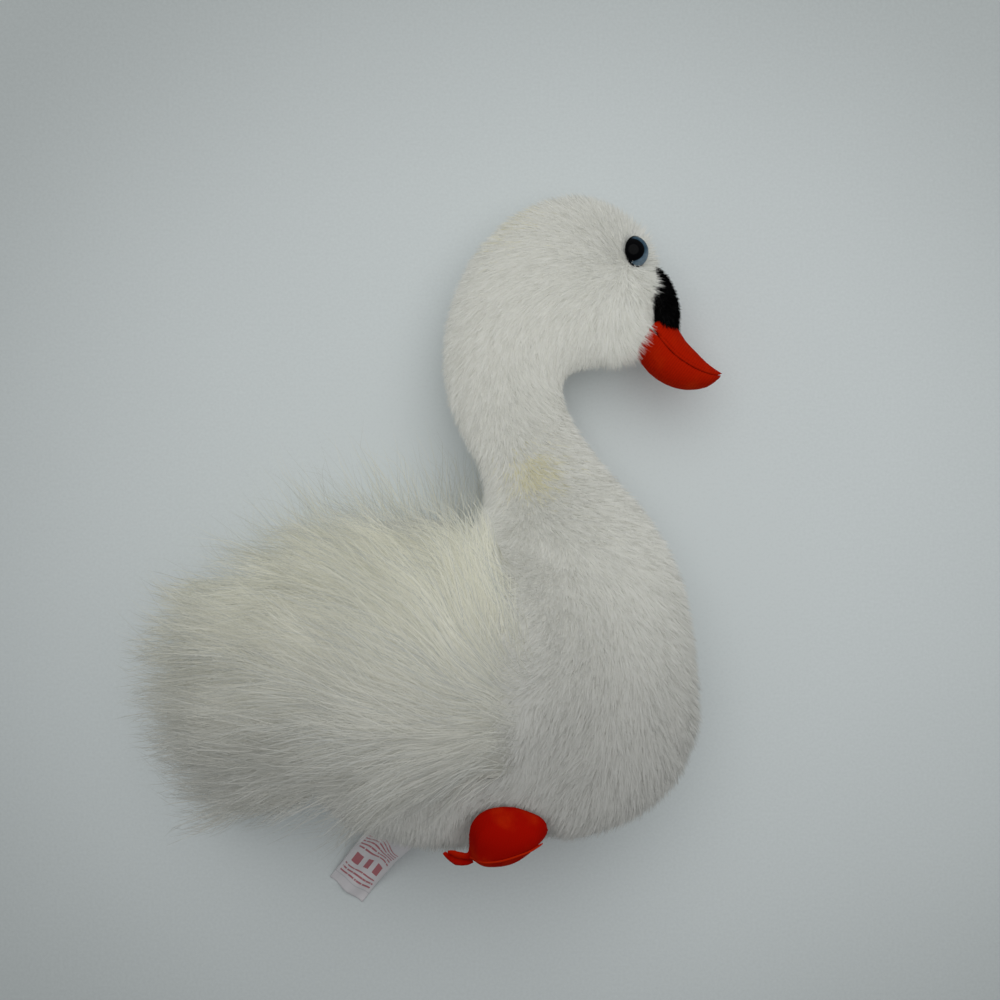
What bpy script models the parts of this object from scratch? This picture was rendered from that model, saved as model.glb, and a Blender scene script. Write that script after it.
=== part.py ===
"""A plush swan that lies on its left side, as it comes to rest.

+X is the way its breast faces, +Y runs from its belly up to its head and +Z is up, away from the
table. The origin is on the flat underside of the far wing, below the middle of the body.
"""

import math

import bmesh
import bpy
import numpy as np
from mathutils import Matrix, Vector
from mathutils.bvhtree import BVHTree

MM = 0.001

# Clearances between pieces that touch
GAP = 0.3 * MM
SLEEVE = 0.3 * MM
PILE_GAP = 0.5 * MM

# Edges sharper than this are shaded as edges
SHARP_FROM = math.radians(50.0)

# How far a cutter reaches past what it cuts
CUTTER_REACH = 60.0 * MM

# The body, neck and head are one stuffed skin. Each section runs from a point on the line of the
# back and crown to a point on the line of the chin, breast and belly:
# back x, back y, front x, front y, half width, height of its middle, all in millimetres
FACE_AND_HEAD = [
    (84.5, 174.5, 77.5, 154.0, 9.0, 32.0),
    (79.0, 188.0, 69.5, 147.5, 19.0, 32.0),
    (72.0, 206.0, 62.0, 143.0, 26.5, 31.5),
    (59.5, 216.5, 53.0, 141.5, 31.0, 31.0),
    (43.0, 220.5, 46.5, 140.5, 32.0, 31.0),
    (25.0, 216.5, 41.5, 139.5, 31.5, 30.5),
    (8.0, 206.0, 39.0, 137.5, 30.0, 30.0),
]
NECK = [
    (-7.0, 187.0, 38.0, 134.5, 27.5, 29.5),
    (-15.5, 164.0, 38.0, 130.0, 26.0, 30.0),
    (-17.5, 142.0, 39.0, 125.0, 25.5, 31.5),
    (-13.5, 121.5, 43.0, 115.0, 26.0, 34.0),
    (-6.5, 106.0, 50.5, 103.5, 27.5, 37.5),
    (0.0, 92.5, 60.0, 91.0, 30.0, 41.5),
    (2.0, 79.0, 72.0, 77.5, 34.0, 46.0),
]
BODY = [
    (-2.0, 67.5, 83.0, 61.0, 38.5, 50.0),
    (-11.0, 58.5, 91.5, 40.5, 43.0, 53.0),
    (-25.0, 52.0, 95.5, 18.0, 46.0, 55.0),
    (-39.5, 46.0, 97.5, -4.5, 48.0, 56.0),
    (-54.0, 38.5, 96.5, -28.0, 48.0, 56.0),
    (-65.0, 29.5, 81.0, -53.0, 47.0, 56.0),
    (-74.0, 18.0, 54.0, -67.5, 44.5, 56.0),
    (-81.0, 4.5, 18.0, -73.0, 40.0, 56.0),
    (-83.5, -11.5, -18.0, -74.5, 33.0, 56.0),
    (-83.0, -27.0, -45.0, -70.0, 24.0, 56.0),
    (-77.0, -42.5, -65.0, -59.5, 11.0, 56.0),
]
RINGS_PER_SECTION = 2
RING_STEPS = 30
BODY_SQUARENESS = 0.93

# The middle plane of the body, about which the swan's left side mirrors its right one
MIDDLE_HEIGHT = 56.0 * MM
FAR_WING_PAD = 8.0 * MM

# Plastic eyes, each with a shank that a washer locks inside the head
EYE_DIAMETER = 13.5 * MM
EYE_DOME = 4.2 * MM
EYE_SINK = 1.2 * MM
DOME_STEPS = 6
EYE_PLACE = (70.5 * MM, 193.5 * MM, 52.6 * MM)
EYE_TURN = math.radians(40.0)
SHANK_DIAMETER = 4.0 * MM
SHANK_LENGTH = 9.0 * MM
WASHER_DIAMETER = 12.0 * MM
WASHER_THICKNESS = 1.6 * MM
WASHER_DEPTH = 4.0 * MM
TURNED_STEPS = 20

# The beak: ridge x, ridge y, chin x, chin y, half width, in millimetres
BEAK_SECTIONS = [
    (86.5, 165.0, 66.5, 154.0, 12.0),
    (91.5, 159.0, 71.0, 147.5, 13.0),
    (95.0, 153.5, 77.5, 138.8, 12.8),
    (99.8, 148.5, 85.5, 133.2, 11.5),
    (104.2, 144.0, 94.8, 130.6, 9.4),
    (108.6, 140.6, 104.5, 131.8, 6.0),
    (112.2, 138.6, 110.4, 136.0, 2.0),
]
BEAK_SEAM_AT_BASE = 0.50
BEAK_SEAM_AT_TIP = 0.26
BEAK_HEIGHT = 32.0 * MM
BEAK_RING_STEPS = 20

# The black patch of the face
PATCH_MIDDLE = (83.2 * MM, 172.0 * MM)
PATCH_LONG = 17.5 * MM
PATCH_DEEP = 8.5 * MM
PATCH_HALF_WIDTH = 14.5 * MM
PATCH_LEAN = math.radians(17.0)

# Feet: the outline of a stuffed foot seen from the side, in millimetres, and its heel tab
FOOT_OUTLINE = [
    (-4.4, -60.5), (-1.8, -55.4), (3.2, -51.8), (9.6, -50.5), (15.6, -50.9), (21.5, -53.0),
    (28.0, -56.2), (29.8, -61.2), (27.6, -65.4), (20.3, -71.8), (13.4, -75.2), (5.8, -76.3),
    (-0.3, -76.0), (-4.4, -73.4), (-4.6, -67.4),
]
FOOT_HALF_THICKNESS = 10.5 * MM
FOOT_RISE = 6.5 * MM
FOOT_TILT = math.radians(26.0)
HEEL_TAB_MIDDLE = (-8.2 * MM, -72.4 * MM)
HEEL_TAB_LONG = 7.4 * MM
HEEL_TAB_HALF_WIDTH = 2.4 * MM
HEEL_TAB_HALF_THICKNESS = 1.2 * MM
HEEL_TAB_LEAN = math.radians(-18.0)
FOOT_STEPS = 28
HEEL_TAB_STEPS = 12

# Flow lines of the long pile, each from its root edge to its tips, in millimetres
NEAR_WING_LINES = [
    [(12.0, 64.0), (-14.0, 69.0), (-40.0, 70.0), (-65.0, 70.0), (-88.0, 68.0)],
    [(40.0, 47.0), (4.0, 50.0), (-32.0, 51.0), (-70.0, 49.0), (-114.0, 44.0)],
    [(54.0, 14.0), (14.0, 14.0), (-36.0, 12.0), (-86.0, 12.0), (-134.0, 12.0)],
    [(45.0, -16.0), (10.0, -16.0), (-34.0, -20.0), (-82.0, -24.0), (-126.0, -24.0)],
    [(22.0, -37.0), (-5.0, -42.0), (-38.0, -50.0), (-72.0, -58.0), (-106.0, -64.0)],
]
FAR_WING_LINES = [
    [(16.0, 74.0), (-8.0, 92.0), (-36.0, 102.0), (-70.0, 104.0), (-104.0, 98.0)],
    [(44.0, 46.0), (2.0, 58.0), (-44.0, 66.0), (-92.0, 68.0), (-146.0, 60.0)],
    [(57.0, 12.0), (10.0, 16.0), (-44.0, 20.0), (-104.0, 20.0), (-164.0, 18.0)],
    [(50.0, -20.0), (8.0, -20.0), (-42.0, -20.0), (-98.0, -22.0), (-156.0, -24.0)],
    [(26.0, -48.0), (-10.0, -56.0), (-50.0, -66.0), (-92.0, -74.0), (-134.0, -78.0)],
]
TAIL_LINES = [
    [(-62.0, 26.0), (-84.0, 42.0), (-110.0, 54.0), (-134.0, 58.0)],
    [(-62.0, 8.0), (-94.0, 12.0), (-128.0, 16.0), (-158.0, 18.0)],
    [(-60.0, -18.0), (-92.0, -22.0), (-126.0, -26.0), (-156.0, -28.0)],
    [(-46.0, -50.0), (-76.0, -62.0), (-106.0, -74.0), (-132.0, -84.0)],
]
NEAR_PILE_DEPTH = 13.0 * MM
NEAR_PILE_BED = 7.0 * MM
FAR_PILE_DEPTH = 17.0 * MM
TAIL_PILE_DEPTH = 17.0 * MM
TAIL_PILE_BED = 20.0 * MM
TAIL_HEIGHT = 64.0 * MM
PILE_EDGE = 1.2 * MM
PILE_BEND_RADIUS = 110.0 * MM
PILE_LEAST_HEIGHT = 22.0 * MM
WING_LOCKS = 11
TAIL_LOCKS = 7
LOCK_NOTCH = 0.13
LOCK_RIDGE = 0.34
LOCK_BEND = 0.02

# Shares of a strand's way from root to tip: where the mat is fully deep, where it starts to thin,
# how much it thins in all, and where the bed below it starts to thin
MAT_DEEP_FROM = 0.22
MAT_THINS_FROM = 0.45
MAT_THINNING = 0.88
BED_THINS_FROM = 0.35
BED_THINNING = 0.9
WING_STEPS_ALONG = 15
WING_STEPS_ACROSS = 45
TAIL_STEPS_ALONG = 12
TAIL_STEPS_ACROSS = 29

# The care label: a ribbon folded over, sewn into the belly seam
LABEL_ROOT = (-35.0 * MM, -68.0 * MM, 36.0 * MM)
LABEL_END = (-63.0 * MM, -105.0 * MM, 3.0 * MM)
LABEL_WIDTH = 20.0 * MM
LABEL_THICKNESS = 0.35 * MM
LABEL_FOLD_RADIUS = 0.8 * MM
LABEL_SAG = 5.0 * MM
LABEL_STEPS = 10
LABEL_FOLD_STEPS = 6

MATERIALS = {
    "white_plush": ((0.80, 0.80, 0.76), 0.90),
    "long_white_pile": ((0.76, 0.76, 0.69), 0.75),
    "black_plush": ((0.012, 0.012, 0.013), 0.85),
    "orange_fabric": ((0.52, 0.026, 0.004), 0.85),
    "eye_plastic": ((0.02, 0.05, 0.08), 0.12),
    "washer_plastic": ((0.78, 0.78, 0.76), 0.50),
    "label_satin": ((0.82, 0.82, 0.82), 0.45),
}


# Helpers

def clear_scene():
    for obj in list(bpy.data.objects):
        bpy.data.objects.remove(obj)


def material(name):
    found = bpy.data.materials.get(name)
    if found:
        return found
    colour, roughness = MATERIALS[name]
    made = bpy.data.materials.new(name)
    made.use_nodes = True
    shader = made.node_tree.nodes["Principled BSDF"]
    shader.inputs["Base Color"].default_value = (*colour, 1.0)
    shader.inputs["Roughness"].default_value = roughness
    shader.inputs["Metallic"].default_value = 0.0
    made.diffuse_color = (*colour, 1.0)
    return made


def object_from(name, bm, finish=None):
    """Turns a bmesh into a smooth shaded object, with its faces pointing out."""
    bmesh.ops.recalc_face_normals(bm, faces=bm.faces)
    mesh = bpy.data.meshes.new(name)
    bm.to_mesh(mesh)
    bm.free()
    mesh.shade_smooth()
    mesh.set_sharp_from_angle(angle=SHARP_FROM)
    obj = bpy.data.objects.new(name, mesh)
    bpy.context.scene.collection.objects.link(obj)
    if finish:
        mesh.materials.append(material(finish))
    return obj


def as_cutter(obj):
    obj.hide_render = True
    obj.display_type = "WIRE"
    return obj


def grown(obj, by):
    """A cutter: the object with each point moved out along its normal."""
    bm = bmesh.new()
    bm.from_mesh(obj.data)
    bm.normal_update()
    normals = [v.normal.copy() for v in bm.verts]
    for v, normal in zip(bm.verts, normals):
        v.co += normal * by
    return as_cutter(object_from(obj.name + "_grown", bm))


def combine(obj, other, operation):
    step = obj.modifiers.new(operation.lower() + "_" + other.name, "BOOLEAN")
    step.operation = operation
    step.solver = "EXACT"
    step.object = other
    return step


def cut(obj, *cutters):
    for cutter in cutters:
        combine(obj, cutter, "DIFFERENCE")
    return obj


def through(points, share):
    """A point on the smooth curve through the given points, where share runs from 0 to 1."""
    points = np.asarray(points, float)
    last = len(points) - 1
    place = min(max(share, 0.0), 1.0) * last
    i = min(int(place), last - 1)
    t = place - i
    before = points[i - 1] if i else 2 * points[0] - points[1]
    after = points[i + 2] if i + 2 <= last else 2 * points[last] - points[last - 1]
    a, b = points[i], points[i + 1]
    return 0.5 * (
        2 * a + (b - before) * t + (2 * before - 5 * a + 4 * b - after) * t**2
        + (3 * a - before - 3 * b + after) * t**3
    )


def smooth_step(low, high, x):
    t = min(max((x - low) / (high - low), 0.0), 1.0)
    return t * t * (3 - 2 * t)


def rounded(value, squareness):
    return math.copysign(abs(value) ** squareness, value)


def lofted(name, rings, finish=None):
    """A closed solid through rings of points, each end closed by a fan."""
    bm = bmesh.new()
    rows = [[bm.verts.new(p) for p in ring] for ring in rings]
    count = len(rows[0])
    for row, after in zip(rows, rows[1:]):
        for i in range(count):
            j = (i + 1) % count
            bm.faces.new((row[i], row[j], after[j], after[i]))
    for row in (rows[0], rows[-1]):
        middle = bm.verts.new(sum((v.co for v in row), Vector()) / count)
        for i in range(count):
            bm.faces.new((row[i], row[(i + 1) % count], middle))
    return object_from(name, bm, finish)


def section_ring(back, front, half_width, height, count, squareness, least_height):
    """Points round a section that stands upright on the line from back to front."""
    middle = (back + front) / 2
    half_line = (back - front) / 2
    ring = []
    for i in range(count):
        angle = 2 * math.pi * i / count
        along = rounded(math.cos(angle), squareness)
        up = rounded(math.sin(angle), squareness)
        place = middle + half_line * along
        ring.append((place.x, place.y, max(height + half_width * up, least_height)))
    return ring


def turned(name, profile, finish=None):
    """A solid turned about Z from (radius, height) points that start and end on the axis."""
    rings = []
    for radius, height in profile[1:-1]:
        angles = [2 * math.pi * i / TURNED_STEPS for i in range(TURNED_STEPS)]
        rings.append([(radius * math.cos(a), radius * math.sin(a), height) for a in angles])
    bm = bmesh.new()
    rows = [[bm.verts.new(p) for p in ring] for ring in rings]
    for row, after in zip(rows, rows[1:]):
        for i in range(TURNED_STEPS):
            j = (i + 1) % TURNED_STEPS
            bm.faces.new((row[i], row[j], after[j], after[i]))
    for row, (_, height) in ((rows[0], profile[0]), (rows[-1], profile[-1])):
        middle = bm.verts.new((0, 0, height))
        for i in range(TURNED_STEPS):
            bm.faces.new((row[i], row[(i + 1) % TURNED_STEPS], middle))
    return object_from(name, bm, finish)


def mirrored_height(height):
    return 2 * MIDDLE_HEIGHT - height


# The body

def body_rings():
    sections = np.array(FACE_AND_HEAD + NECK + BODY) * MM
    count = (len(sections) - 1) * RINGS_PER_SECTION + 1
    neck_end = (len(FACE_AND_HEAD) + len(NECK)) / len(sections)
    neck_start = len(FACE_AND_HEAD) / len(sections)
    rings = []
    for i in range(count):
        share = i / (count - 1)
        back_x, back_y, front_x, front_y, half_width, height = through(sections, share)
        lift = (FAR_WING_PAD + GAP) * smooth_step(neck_start, neck_end, share)
        rings.append(section_ring(
            Vector((back_x, back_y, 0)), Vector((front_x, front_y, 0)),
            half_width, height, RING_STEPS, BODY_SQUARENESS, lift,
        ))
    return rings


def surface_of(*objects):
    """The objects' own meshes as one tree that rays can meet."""
    bm = bmesh.new()
    for obj in objects:
        bm.from_mesh(obj.data)
    tree = BVHTree.FromBMesh(bm)
    bm.free()
    return tree


def seen_from_above(tree, x, y):
    place, normal, _, _ = tree.ray_cast(Vector((x, y, 1.0)), Vector((0, 0, -1)))
    return place, normal


# The eyes

def dome_profile(top_radius, dome):
    """Points of a shallow dome, from its crown to its rim."""
    ball = (top_radius**2 + dome**2) / (2 * dome)
    sweep = math.asin(min(top_radius / ball, 1.0))
    points = []
    for i in range(DOME_STEPS + 1):
        angle = sweep * i / DOME_STEPS
        points.append((ball * math.sin(angle), dome - ball * (1 - math.cos(angle))))
    return points


def eye_profile():
    dome = dome_profile(EYE_DIAMETER / 2, EYE_DOME)
    shank = SHANK_DIAMETER / 2
    return [
        *dome,
        (EYE_DIAMETER / 2, -EYE_SINK),
        (shank, -EYE_SINK),
        (shank, -SHANK_LENGTH),
        (0, -SHANK_LENGTH),
    ]


def washer_mesh(name):
    inner = SHANK_DIAMETER / 2 + SLEEVE
    outer = WASHER_DIAMETER / 2
    top = -WASHER_DEPTH
    bottom = top - WASHER_THICKNESS
    bm = bmesh.new()
    corners = [(inner, top), (outer, top), (outer, bottom), (inner, bottom)]
    rows = []
    for i in range(TURNED_STEPS):
        angle = 2 * math.pi * i / TURNED_STEPS
        rows.append([
            bm.verts.new((r * math.cos(angle), r * math.sin(angle), z)) for r, z in corners
        ])
    for i in range(TURNED_STEPS):
        row, after = rows[i], rows[(i + 1) % TURNED_STEPS]
        for k in range(4):
            m = (k + 1) % 4
            bm.faces.new((row[k], row[m], after[m], after[k]))
    return object_from(name, bm, "washer_plastic")


def eye_socket_profile():
    """The room that an eye takes: a seat, the shank's bore and the washer's pocket."""
    seat = EYE_DIAMETER / 2 + GAP
    bore = SHANK_DIAMETER / 2 + SLEEVE
    pocket = WASHER_DIAMETER / 2 + SLEEVE
    top = -WASHER_DEPTH + SLEEVE
    bottom = -WASHER_DEPTH - WASHER_THICKNESS - SLEEVE
    end = min(-SHANK_LENGTH - SLEEVE, bottom - SLEEVE)
    return [
        (0, CUTTER_REACH), (seat, CUTTER_REACH), (seat, -EYE_SINK - GAP), (bore, -EYE_SINK - GAP),
        (bore, top), (pocket, top), (pocket, bottom), (bore, bottom), (bore, end), (0, end),
    ]


def make_eyes(body, tree):
    place, _, _, _ = tree.find_nearest(Vector(EYE_PLACE))
    turn = Matrix.Rotation(EYE_TURN, 4, "Y")
    head_middle = FACE_AND_HEAD[2][5] * MM
    for side, upward in (("right", 1), ("left", -1)):
        height = head_middle + upward * (place.z - head_middle)
        spot = Matrix.Translation((place.x, place.y, height))
        flip = Matrix.Identity(4) if upward > 0 else Matrix.Rotation(math.pi, 4, "X")
        facing = turn if upward > 0 else Matrix.Rotation(-EYE_TURN, 4, "Y")
        stand = spot @ facing @ flip
        eye = turned(side + "_eye", eye_profile(), "eye_plastic")
        washer = washer_mesh(side + "_eye_washer")
        socket = as_cutter(turned(side + "_eye_socket", eye_socket_profile()))
        for obj in (eye, washer, socket):
            obj.matrix_world = stand
        cut(body, socket)


# The beak and the patch above it

def make_beak(body_cutter):
    """Two panels that meet at a seam along each side; gives the room that both take."""
    sections = np.array(BEAK_SECTIONS) * MM
    count = (len(sections) - 1) * 2 + 1
    rings, seam = [], []
    for i in range(count):
        share = i / (count - 1)
        ridge_x, ridge_y, chin_x, chin_y, half_width = through(sections, share)
        ridge, chin = Vector((ridge_x, ridge_y, 0)), Vector((chin_x, chin_y, 0))
        rings.append(section_ring(
            ridge, chin, half_width, BEAK_HEIGHT, BEAK_RING_STEPS, 1.0, 0.0))
        seam.append(ridge.lerp(
            chin, BEAK_SEAM_AT_BASE + (BEAK_SEAM_AT_TIP - BEAK_SEAM_AT_BASE) * share))
    seam[0] = seam[0] + (seam[0] - seam[1]) * 2
    seam.append(seam[-1] + (seam[-1] - seam[-2]).normalized() * CUTTER_REACH)
    across = Vector((seam[-1].y - seam[0].y, seam[0].x - seam[-1].x, 0)).normalized()
    for name, side in (("beak_upper", 1), ("beak_lower", -1)):
        panel = lofted(name, rings, "orange_fabric")
        cut(panel, seam_block(name + "_other_side", seam, across * side), body_cutter)
    return grown(panel, GAP)


def seam_block(name, seam, across):
    """Everything on one side of the beak's seam, and half a gap more."""
    near = [p - across * GAP / 2 for p in seam]
    far = [p + across * CUTTER_REACH for p in seam]
    low, high = BEAK_HEIGHT - CUTTER_REACH, BEAK_HEIGHT + CUTTER_REACH
    bm = bmesh.new()
    outline = near + far[::-1]
    floor = [bm.verts.new((p.x, p.y, low)) for p in outline]
    roof = [bm.verts.new((p.x, p.y, high)) for p in outline]
    bm.faces.new(floor)
    bm.faces.new(roof)
    for i in range(len(outline)):
        j = (i + 1) % len(outline)
        bm.faces.new((floor[i], floor[j], roof[j], roof[i]))
    return as_cutter(object_from(name, bm))


def make_patch(*cutters):
    bm = bmesh.new()
    bmesh.ops.create_uvsphere(bm, u_segments=24, v_segments=14, radius=1.0)
    bmesh.ops.scale(bm, vec=(PATCH_DEEP, PATCH_LONG, PATCH_HALF_WIDTH), verts=bm.verts)
    bmesh.ops.rotate(bm, matrix=Matrix.Rotation(PATCH_LEAN, 3, "Z"), verts=bm.verts)
    bmesh.ops.translate(bm, vec=(*PATCH_MIDDLE, BEAK_HEIGHT), verts=bm.verts)
    return cut(object_from("face_patch", bm, "black_plush"), *cutters)


# The feet

def pillow(name, outline, height, half_thickness, finish, steps=4):
    """A stuffed pad: an outline in plan, swelling from its seam to its middle."""
    ring = [Vector((x, y, 0)) for x, y in outline]
    middle = sum(ring, Vector()) / len(ring)
    bm = bmesh.new()
    seam = [bm.verts.new((p.x, p.y, height)) for p in ring]
    for side in (1, -1):
        before = seam
        for k in range(1, steps):
            share = 1 - k / steps
            swell = half_thickness * math.sqrt(1 - share**2)
            row = [bm.verts.new(middle.lerp(p, share) + Vector((0, 0, height + side * swell)))
                   for p in ring]
            for i in range(len(ring)):
                j = (i + 1) % len(ring)
                bm.faces.new((before[i], before[j], row[j], row[i]))
            before = row
        crown = bm.verts.new((middle.x, middle.y, height + side * half_thickness))
        for i in range(len(ring)):
            bm.faces.new((before[i], before[(i + 1) % len(ring)], crown))
    return object_from(name, bm, finish)


def closed_outline(points, count):
    """Points evenly shared over the smooth closed curve through the given ones."""
    loop = [points[-2], points[-1], *points, points[0], points[1], points[2]]
    span = len(loop) - 1
    start, end = 2 / span, (2 + len(points)) / span
    return [through(loop, start + (end - start) * i / count) * MM for i in range(count)]


def tilted(obj, middle, height, tilt):
    """Tips a pad about a line along X through its middle, so that its upper edge lifts."""
    stand = Matrix.Translation((0, middle, height))
    obj.data.transform(stand @ Matrix.Rotation(tilt, 4, "X") @ stand.inverted())


def foot_middle():
    return [sum(row) / len(row) * MM for row in zip(*FOOT_OUTLINE)]


def make_foot(name, height, tilt, body_cutter):
    foot = pillow(name, closed_outline(FOOT_OUTLINE, FOOT_STEPS), height, FOOT_HALF_THICKNESS,
                  "orange_fabric")
    lean = Matrix.Rotation(HEEL_TAB_LEAN, 2)
    tab_outline = []
    for i in range(HEEL_TAB_STEPS):
        angle = 2 * math.pi * i / HEEL_TAB_STEPS
        point = lean @ Vector((HEEL_TAB_LONG * math.cos(angle),
                               HEEL_TAB_HALF_WIDTH * math.sin(angle)))
        tab_outline.append((HEEL_TAB_MIDDLE[0] + point.x, HEEL_TAB_MIDDLE[1] + point.y))
    tab = as_cutter(pillow(name + "_heel_tab", tab_outline, height, HEEL_TAB_HALF_THICKNESS, None,
                           steps=2))
    for pad in (foot, tab):
        tilted(pad, foot_middle()[1], height, tilt)
    combine(foot, tab, "UNION")
    return cut(foot, body_cutter)


# The long pile of the wings and the tail

def flow_grid(lines, along, across, locks):
    """Plan places, their share along and across, and how much of a lock's crest each is on."""
    lines = np.array(lines) * MM
    grid = []
    for j in range(across):
        v = j / (across - 1)
        row = []
        for i in range(along):
            u = i / (along - 1)
            bend = v + LOCK_BEND * math.sin(5 * v + 4 * u)
            crest = abs(math.sin(math.pi * locks * bend)) ** 0.8
            reach = u * (1 - LOCK_NOTCH * (1 - crest) * smooth_step(0.3, 1.0, u))
            here = through([through(line, reach) for line in lines], v)
            row.append((here, u, v, crest))
        grid.append(row)
    return grid


def draped(grid, tree, start=None):
    """Heights over the grid: the pile lies on the body, then droops to the table past it."""
    heights = np.zeros((len(grid), len(grid[0])))
    for j, row in enumerate(grid):
        slope, height, before = 0.0, start, None
        for i, (here, *_) in enumerate(row):
            hit, _ = seen_from_above(tree, *here) if tree else (None, None)
            if height is None:
                height = hit.z if hit else MIDDLE_HEIGHT
            if before is not None:
                step = float(np.linalg.norm(here - before))
                slope -= step / PILE_BEND_RADIUS
                height = max(height + slope * step, PILE_LEAST_HEIGHT)
                if hit and hit.z > height:
                    height, slope = hit.z, max(slope, 0.0)
            before = here
            heights[j, i] = height
    for _ in range(2):
        padded = np.pad(heights, 1, mode="edge")
        heights = 0.5 * heights + 0.125 * (
            padded[:-2, 1:-1] + padded[2:, 1:-1] + padded[1:-1, :-2] + padded[1:-1, 2:])
    return heights


def pile_mat(name, grid, heights, depth, bed, flat=False):
    """A closed mat of long pile: locks with crests on top, and either a bed or a flat underside."""
    bm = bmesh.new()
    top, bottom = [], []
    for row, row_heights in zip(grid, heights):
        top_row, bottom_row = [], []
        for (here, u, v, crest), height in zip(row, row_heights):
            across = math.sin(math.pi * min(max(v, 0.02), 0.98)) ** 0.45
            along = smooth_step(-0.05, MAT_DEEP_FROM, u)
            along *= 1 - MAT_THINNING * smooth_step(MAT_THINS_FROM, 1.0, u)
            ridge = 1 - LOCK_RIDGE * (1 - crest) * smooth_step(0.05, 0.5, u)
            thick = PILE_EDGE + (depth - PILE_EDGE) * across * along * ridge
            thin_bed = BED_THINNING * smooth_step(BED_THINS_FROM, 1.0, u)
            under = PILE_EDGE + (bed - PILE_EDGE) * (1 - thin_bed)
            base = 0.0 if flat else max(height - under, 0.0)
            crown = thick if flat else height + thick
            top_row.append(bm.verts.new((*here, crown)))
            bottom_row.append(bm.verts.new((*here, base)))
        top.append(top_row)
        bottom.append(bottom_row)
    rows, columns = len(top), len(top[0])
    for sheet in (top, bottom):
        for j in range(rows - 1):
            for i in range(columns - 1):
                bm.faces.new((sheet[j][i], sheet[j][i + 1], sheet[j + 1][i + 1], sheet[j + 1][i]))
    rim = [(0, i) for i in range(columns)] + [(j, columns - 1) for j in range(1, rows)]
    rim += [(rows - 1, i) for i in range(columns - 2, -1, -1)]
    rim += [(j, 0) for j in range(rows - 2, 0, -1)]
    for (a, b), (c, d) in zip(rim, rim[1:] + rim[:1]):
        bm.faces.new((top[a][b], top[c][d], bottom[c][d], bottom[a][b]))
    return object_from(name, bm, "long_white_pile")


# The care label

def make_label():
    """A ribbon that runs out from the belly seam, folds over and runs back above itself."""
    root, end = Vector(LABEL_ROOT), Vector(LABEL_END)
    run = Vector((end.x - root.x, end.y - root.y, 0))
    forward = run.normalized()
    side = Vector((-forward.y, forward.x, 0))
    lower = []
    for i in range(LABEL_STEPS + 1):
        share = i / LABEL_STEPS
        height = root.z + (end.z - root.z) * smooth_step(0.0, 1.0, share)
        height -= LABEL_SAG * math.sin(math.pi * share) * (1 - share)
        lower.append(root + run * share + Vector((0, 0, height - root.z)))
    line = list(lower)
    fold_middle = lower[-1] + Vector((0, 0, LABEL_FOLD_RADIUS))
    for i in range(1, LABEL_FOLD_STEPS):
        angle = math.pi * i / LABEL_FOLD_STEPS
        line.append(fold_middle + forward * LABEL_FOLD_RADIUS * math.sin(angle)
                    - Vector((0, 0, LABEL_FOLD_RADIUS * math.cos(angle))))
    line += [p + Vector((0, 0, 2 * LABEL_FOLD_RADIUS)) for p in lower[::-1]]
    bm = bmesh.new()
    rows = []
    for i, p in enumerate(line):
        ahead = (line[min(i + 1, len(line) - 1)] - line[max(i - 1, 0)]).normalized()
        out = side.cross(ahead).normalized() * LABEL_THICKNESS / 2
        reach = side * LABEL_WIDTH / 2
        rows.append([bm.verts.new(q) for q in (p + out + reach, p + out - reach,
                                               p - out - reach, p - out + reach)])
    for row, after in zip(rows, rows[1:]):
        for k in range(4):
            m = (k + 1) % 4
            bm.faces.new((row[k], row[m], after[m], after[k]))
    bm.faces.new(rows[0])
    bm.faces.new(rows[-1])
    return object_from("care_label", bm, "label_satin")


def main():
    clear_scene()
    body = lofted("body_plush", body_rings(), "white_plush")
    tree = surface_of(body)
    body_cutter = grown(body, GAP)
    make_eyes(body, tree)

    beak_cutter = make_beak(body_cutter)
    make_patch(body_cutter, beak_cutter)

    seat, _ = seen_from_above(tree, *foot_middle())
    height = seat.z + FOOT_RISE
    right_foot = make_foot("right_foot", height, FOOT_TILT, body_cutter)
    left_foot = make_foot("left_foot", mirrored_height(height), -FOOT_TILT, body_cutter)

    far_grid = flow_grid(FAR_WING_LINES, WING_STEPS_ALONG, WING_STEPS_ACROSS, WING_LOCKS)
    level = np.zeros((len(far_grid), len(far_grid[0])))
    far_wing = pile_mat("left_wing", far_grid, level, FAR_PILE_DEPTH, 0.0, flat=True)
    far_cutter = grown(far_wing, GAP)
    foot_cutters = [grown(foot, GAP) for foot in (right_foot, left_foot)]
    cut(far_wing, body_cutter, *foot_cutters)

    tail_grid = flow_grid(TAIL_LINES, TAIL_STEPS_ALONG, TAIL_STEPS_ACROSS, TAIL_LOCKS)
    tail = pile_mat("tail", tail_grid, draped(tail_grid, None, TAIL_HEIGHT), TAIL_PILE_DEPTH,
                    TAIL_PILE_BED)
    tail_cutter = grown(tail, PILE_GAP)
    over_body_and_tail = surface_of(body, tail)
    cut(tail, body_cutter)

    near_grid = flow_grid(NEAR_WING_LINES, WING_STEPS_ALONG, WING_STEPS_ACROSS, WING_LOCKS)
    near_wing = pile_mat("right_wing", near_grid, draped(near_grid, over_body_and_tail),
                         NEAR_PILE_DEPTH, NEAR_PILE_BED)
    cut(near_wing, body_cutter, tail_cutter)

    cut(make_label(), body_cutter, far_cutter, tail_cutter)


main()
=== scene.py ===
# %% [markdown]
# A plush swan, lying on its left side on a pale table.
#
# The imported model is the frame: it says how big every piece is and where it sits. This script
# dresses it. The stuffed body, the wings and the tail get a felt ground cloth with real strands of
# pile on it, the beak and the feet get their sewn panels, and the eyes get their iris. Nothing in
# the frame is moved: a soft CAD solid is replaced by a better piece in the same place.

# %% The frame
import math

import bmesh
import bpy
import numpy as np
from mathutils import Matrix, Vector
from mathutils.bvhtree import BVHTree


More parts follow.
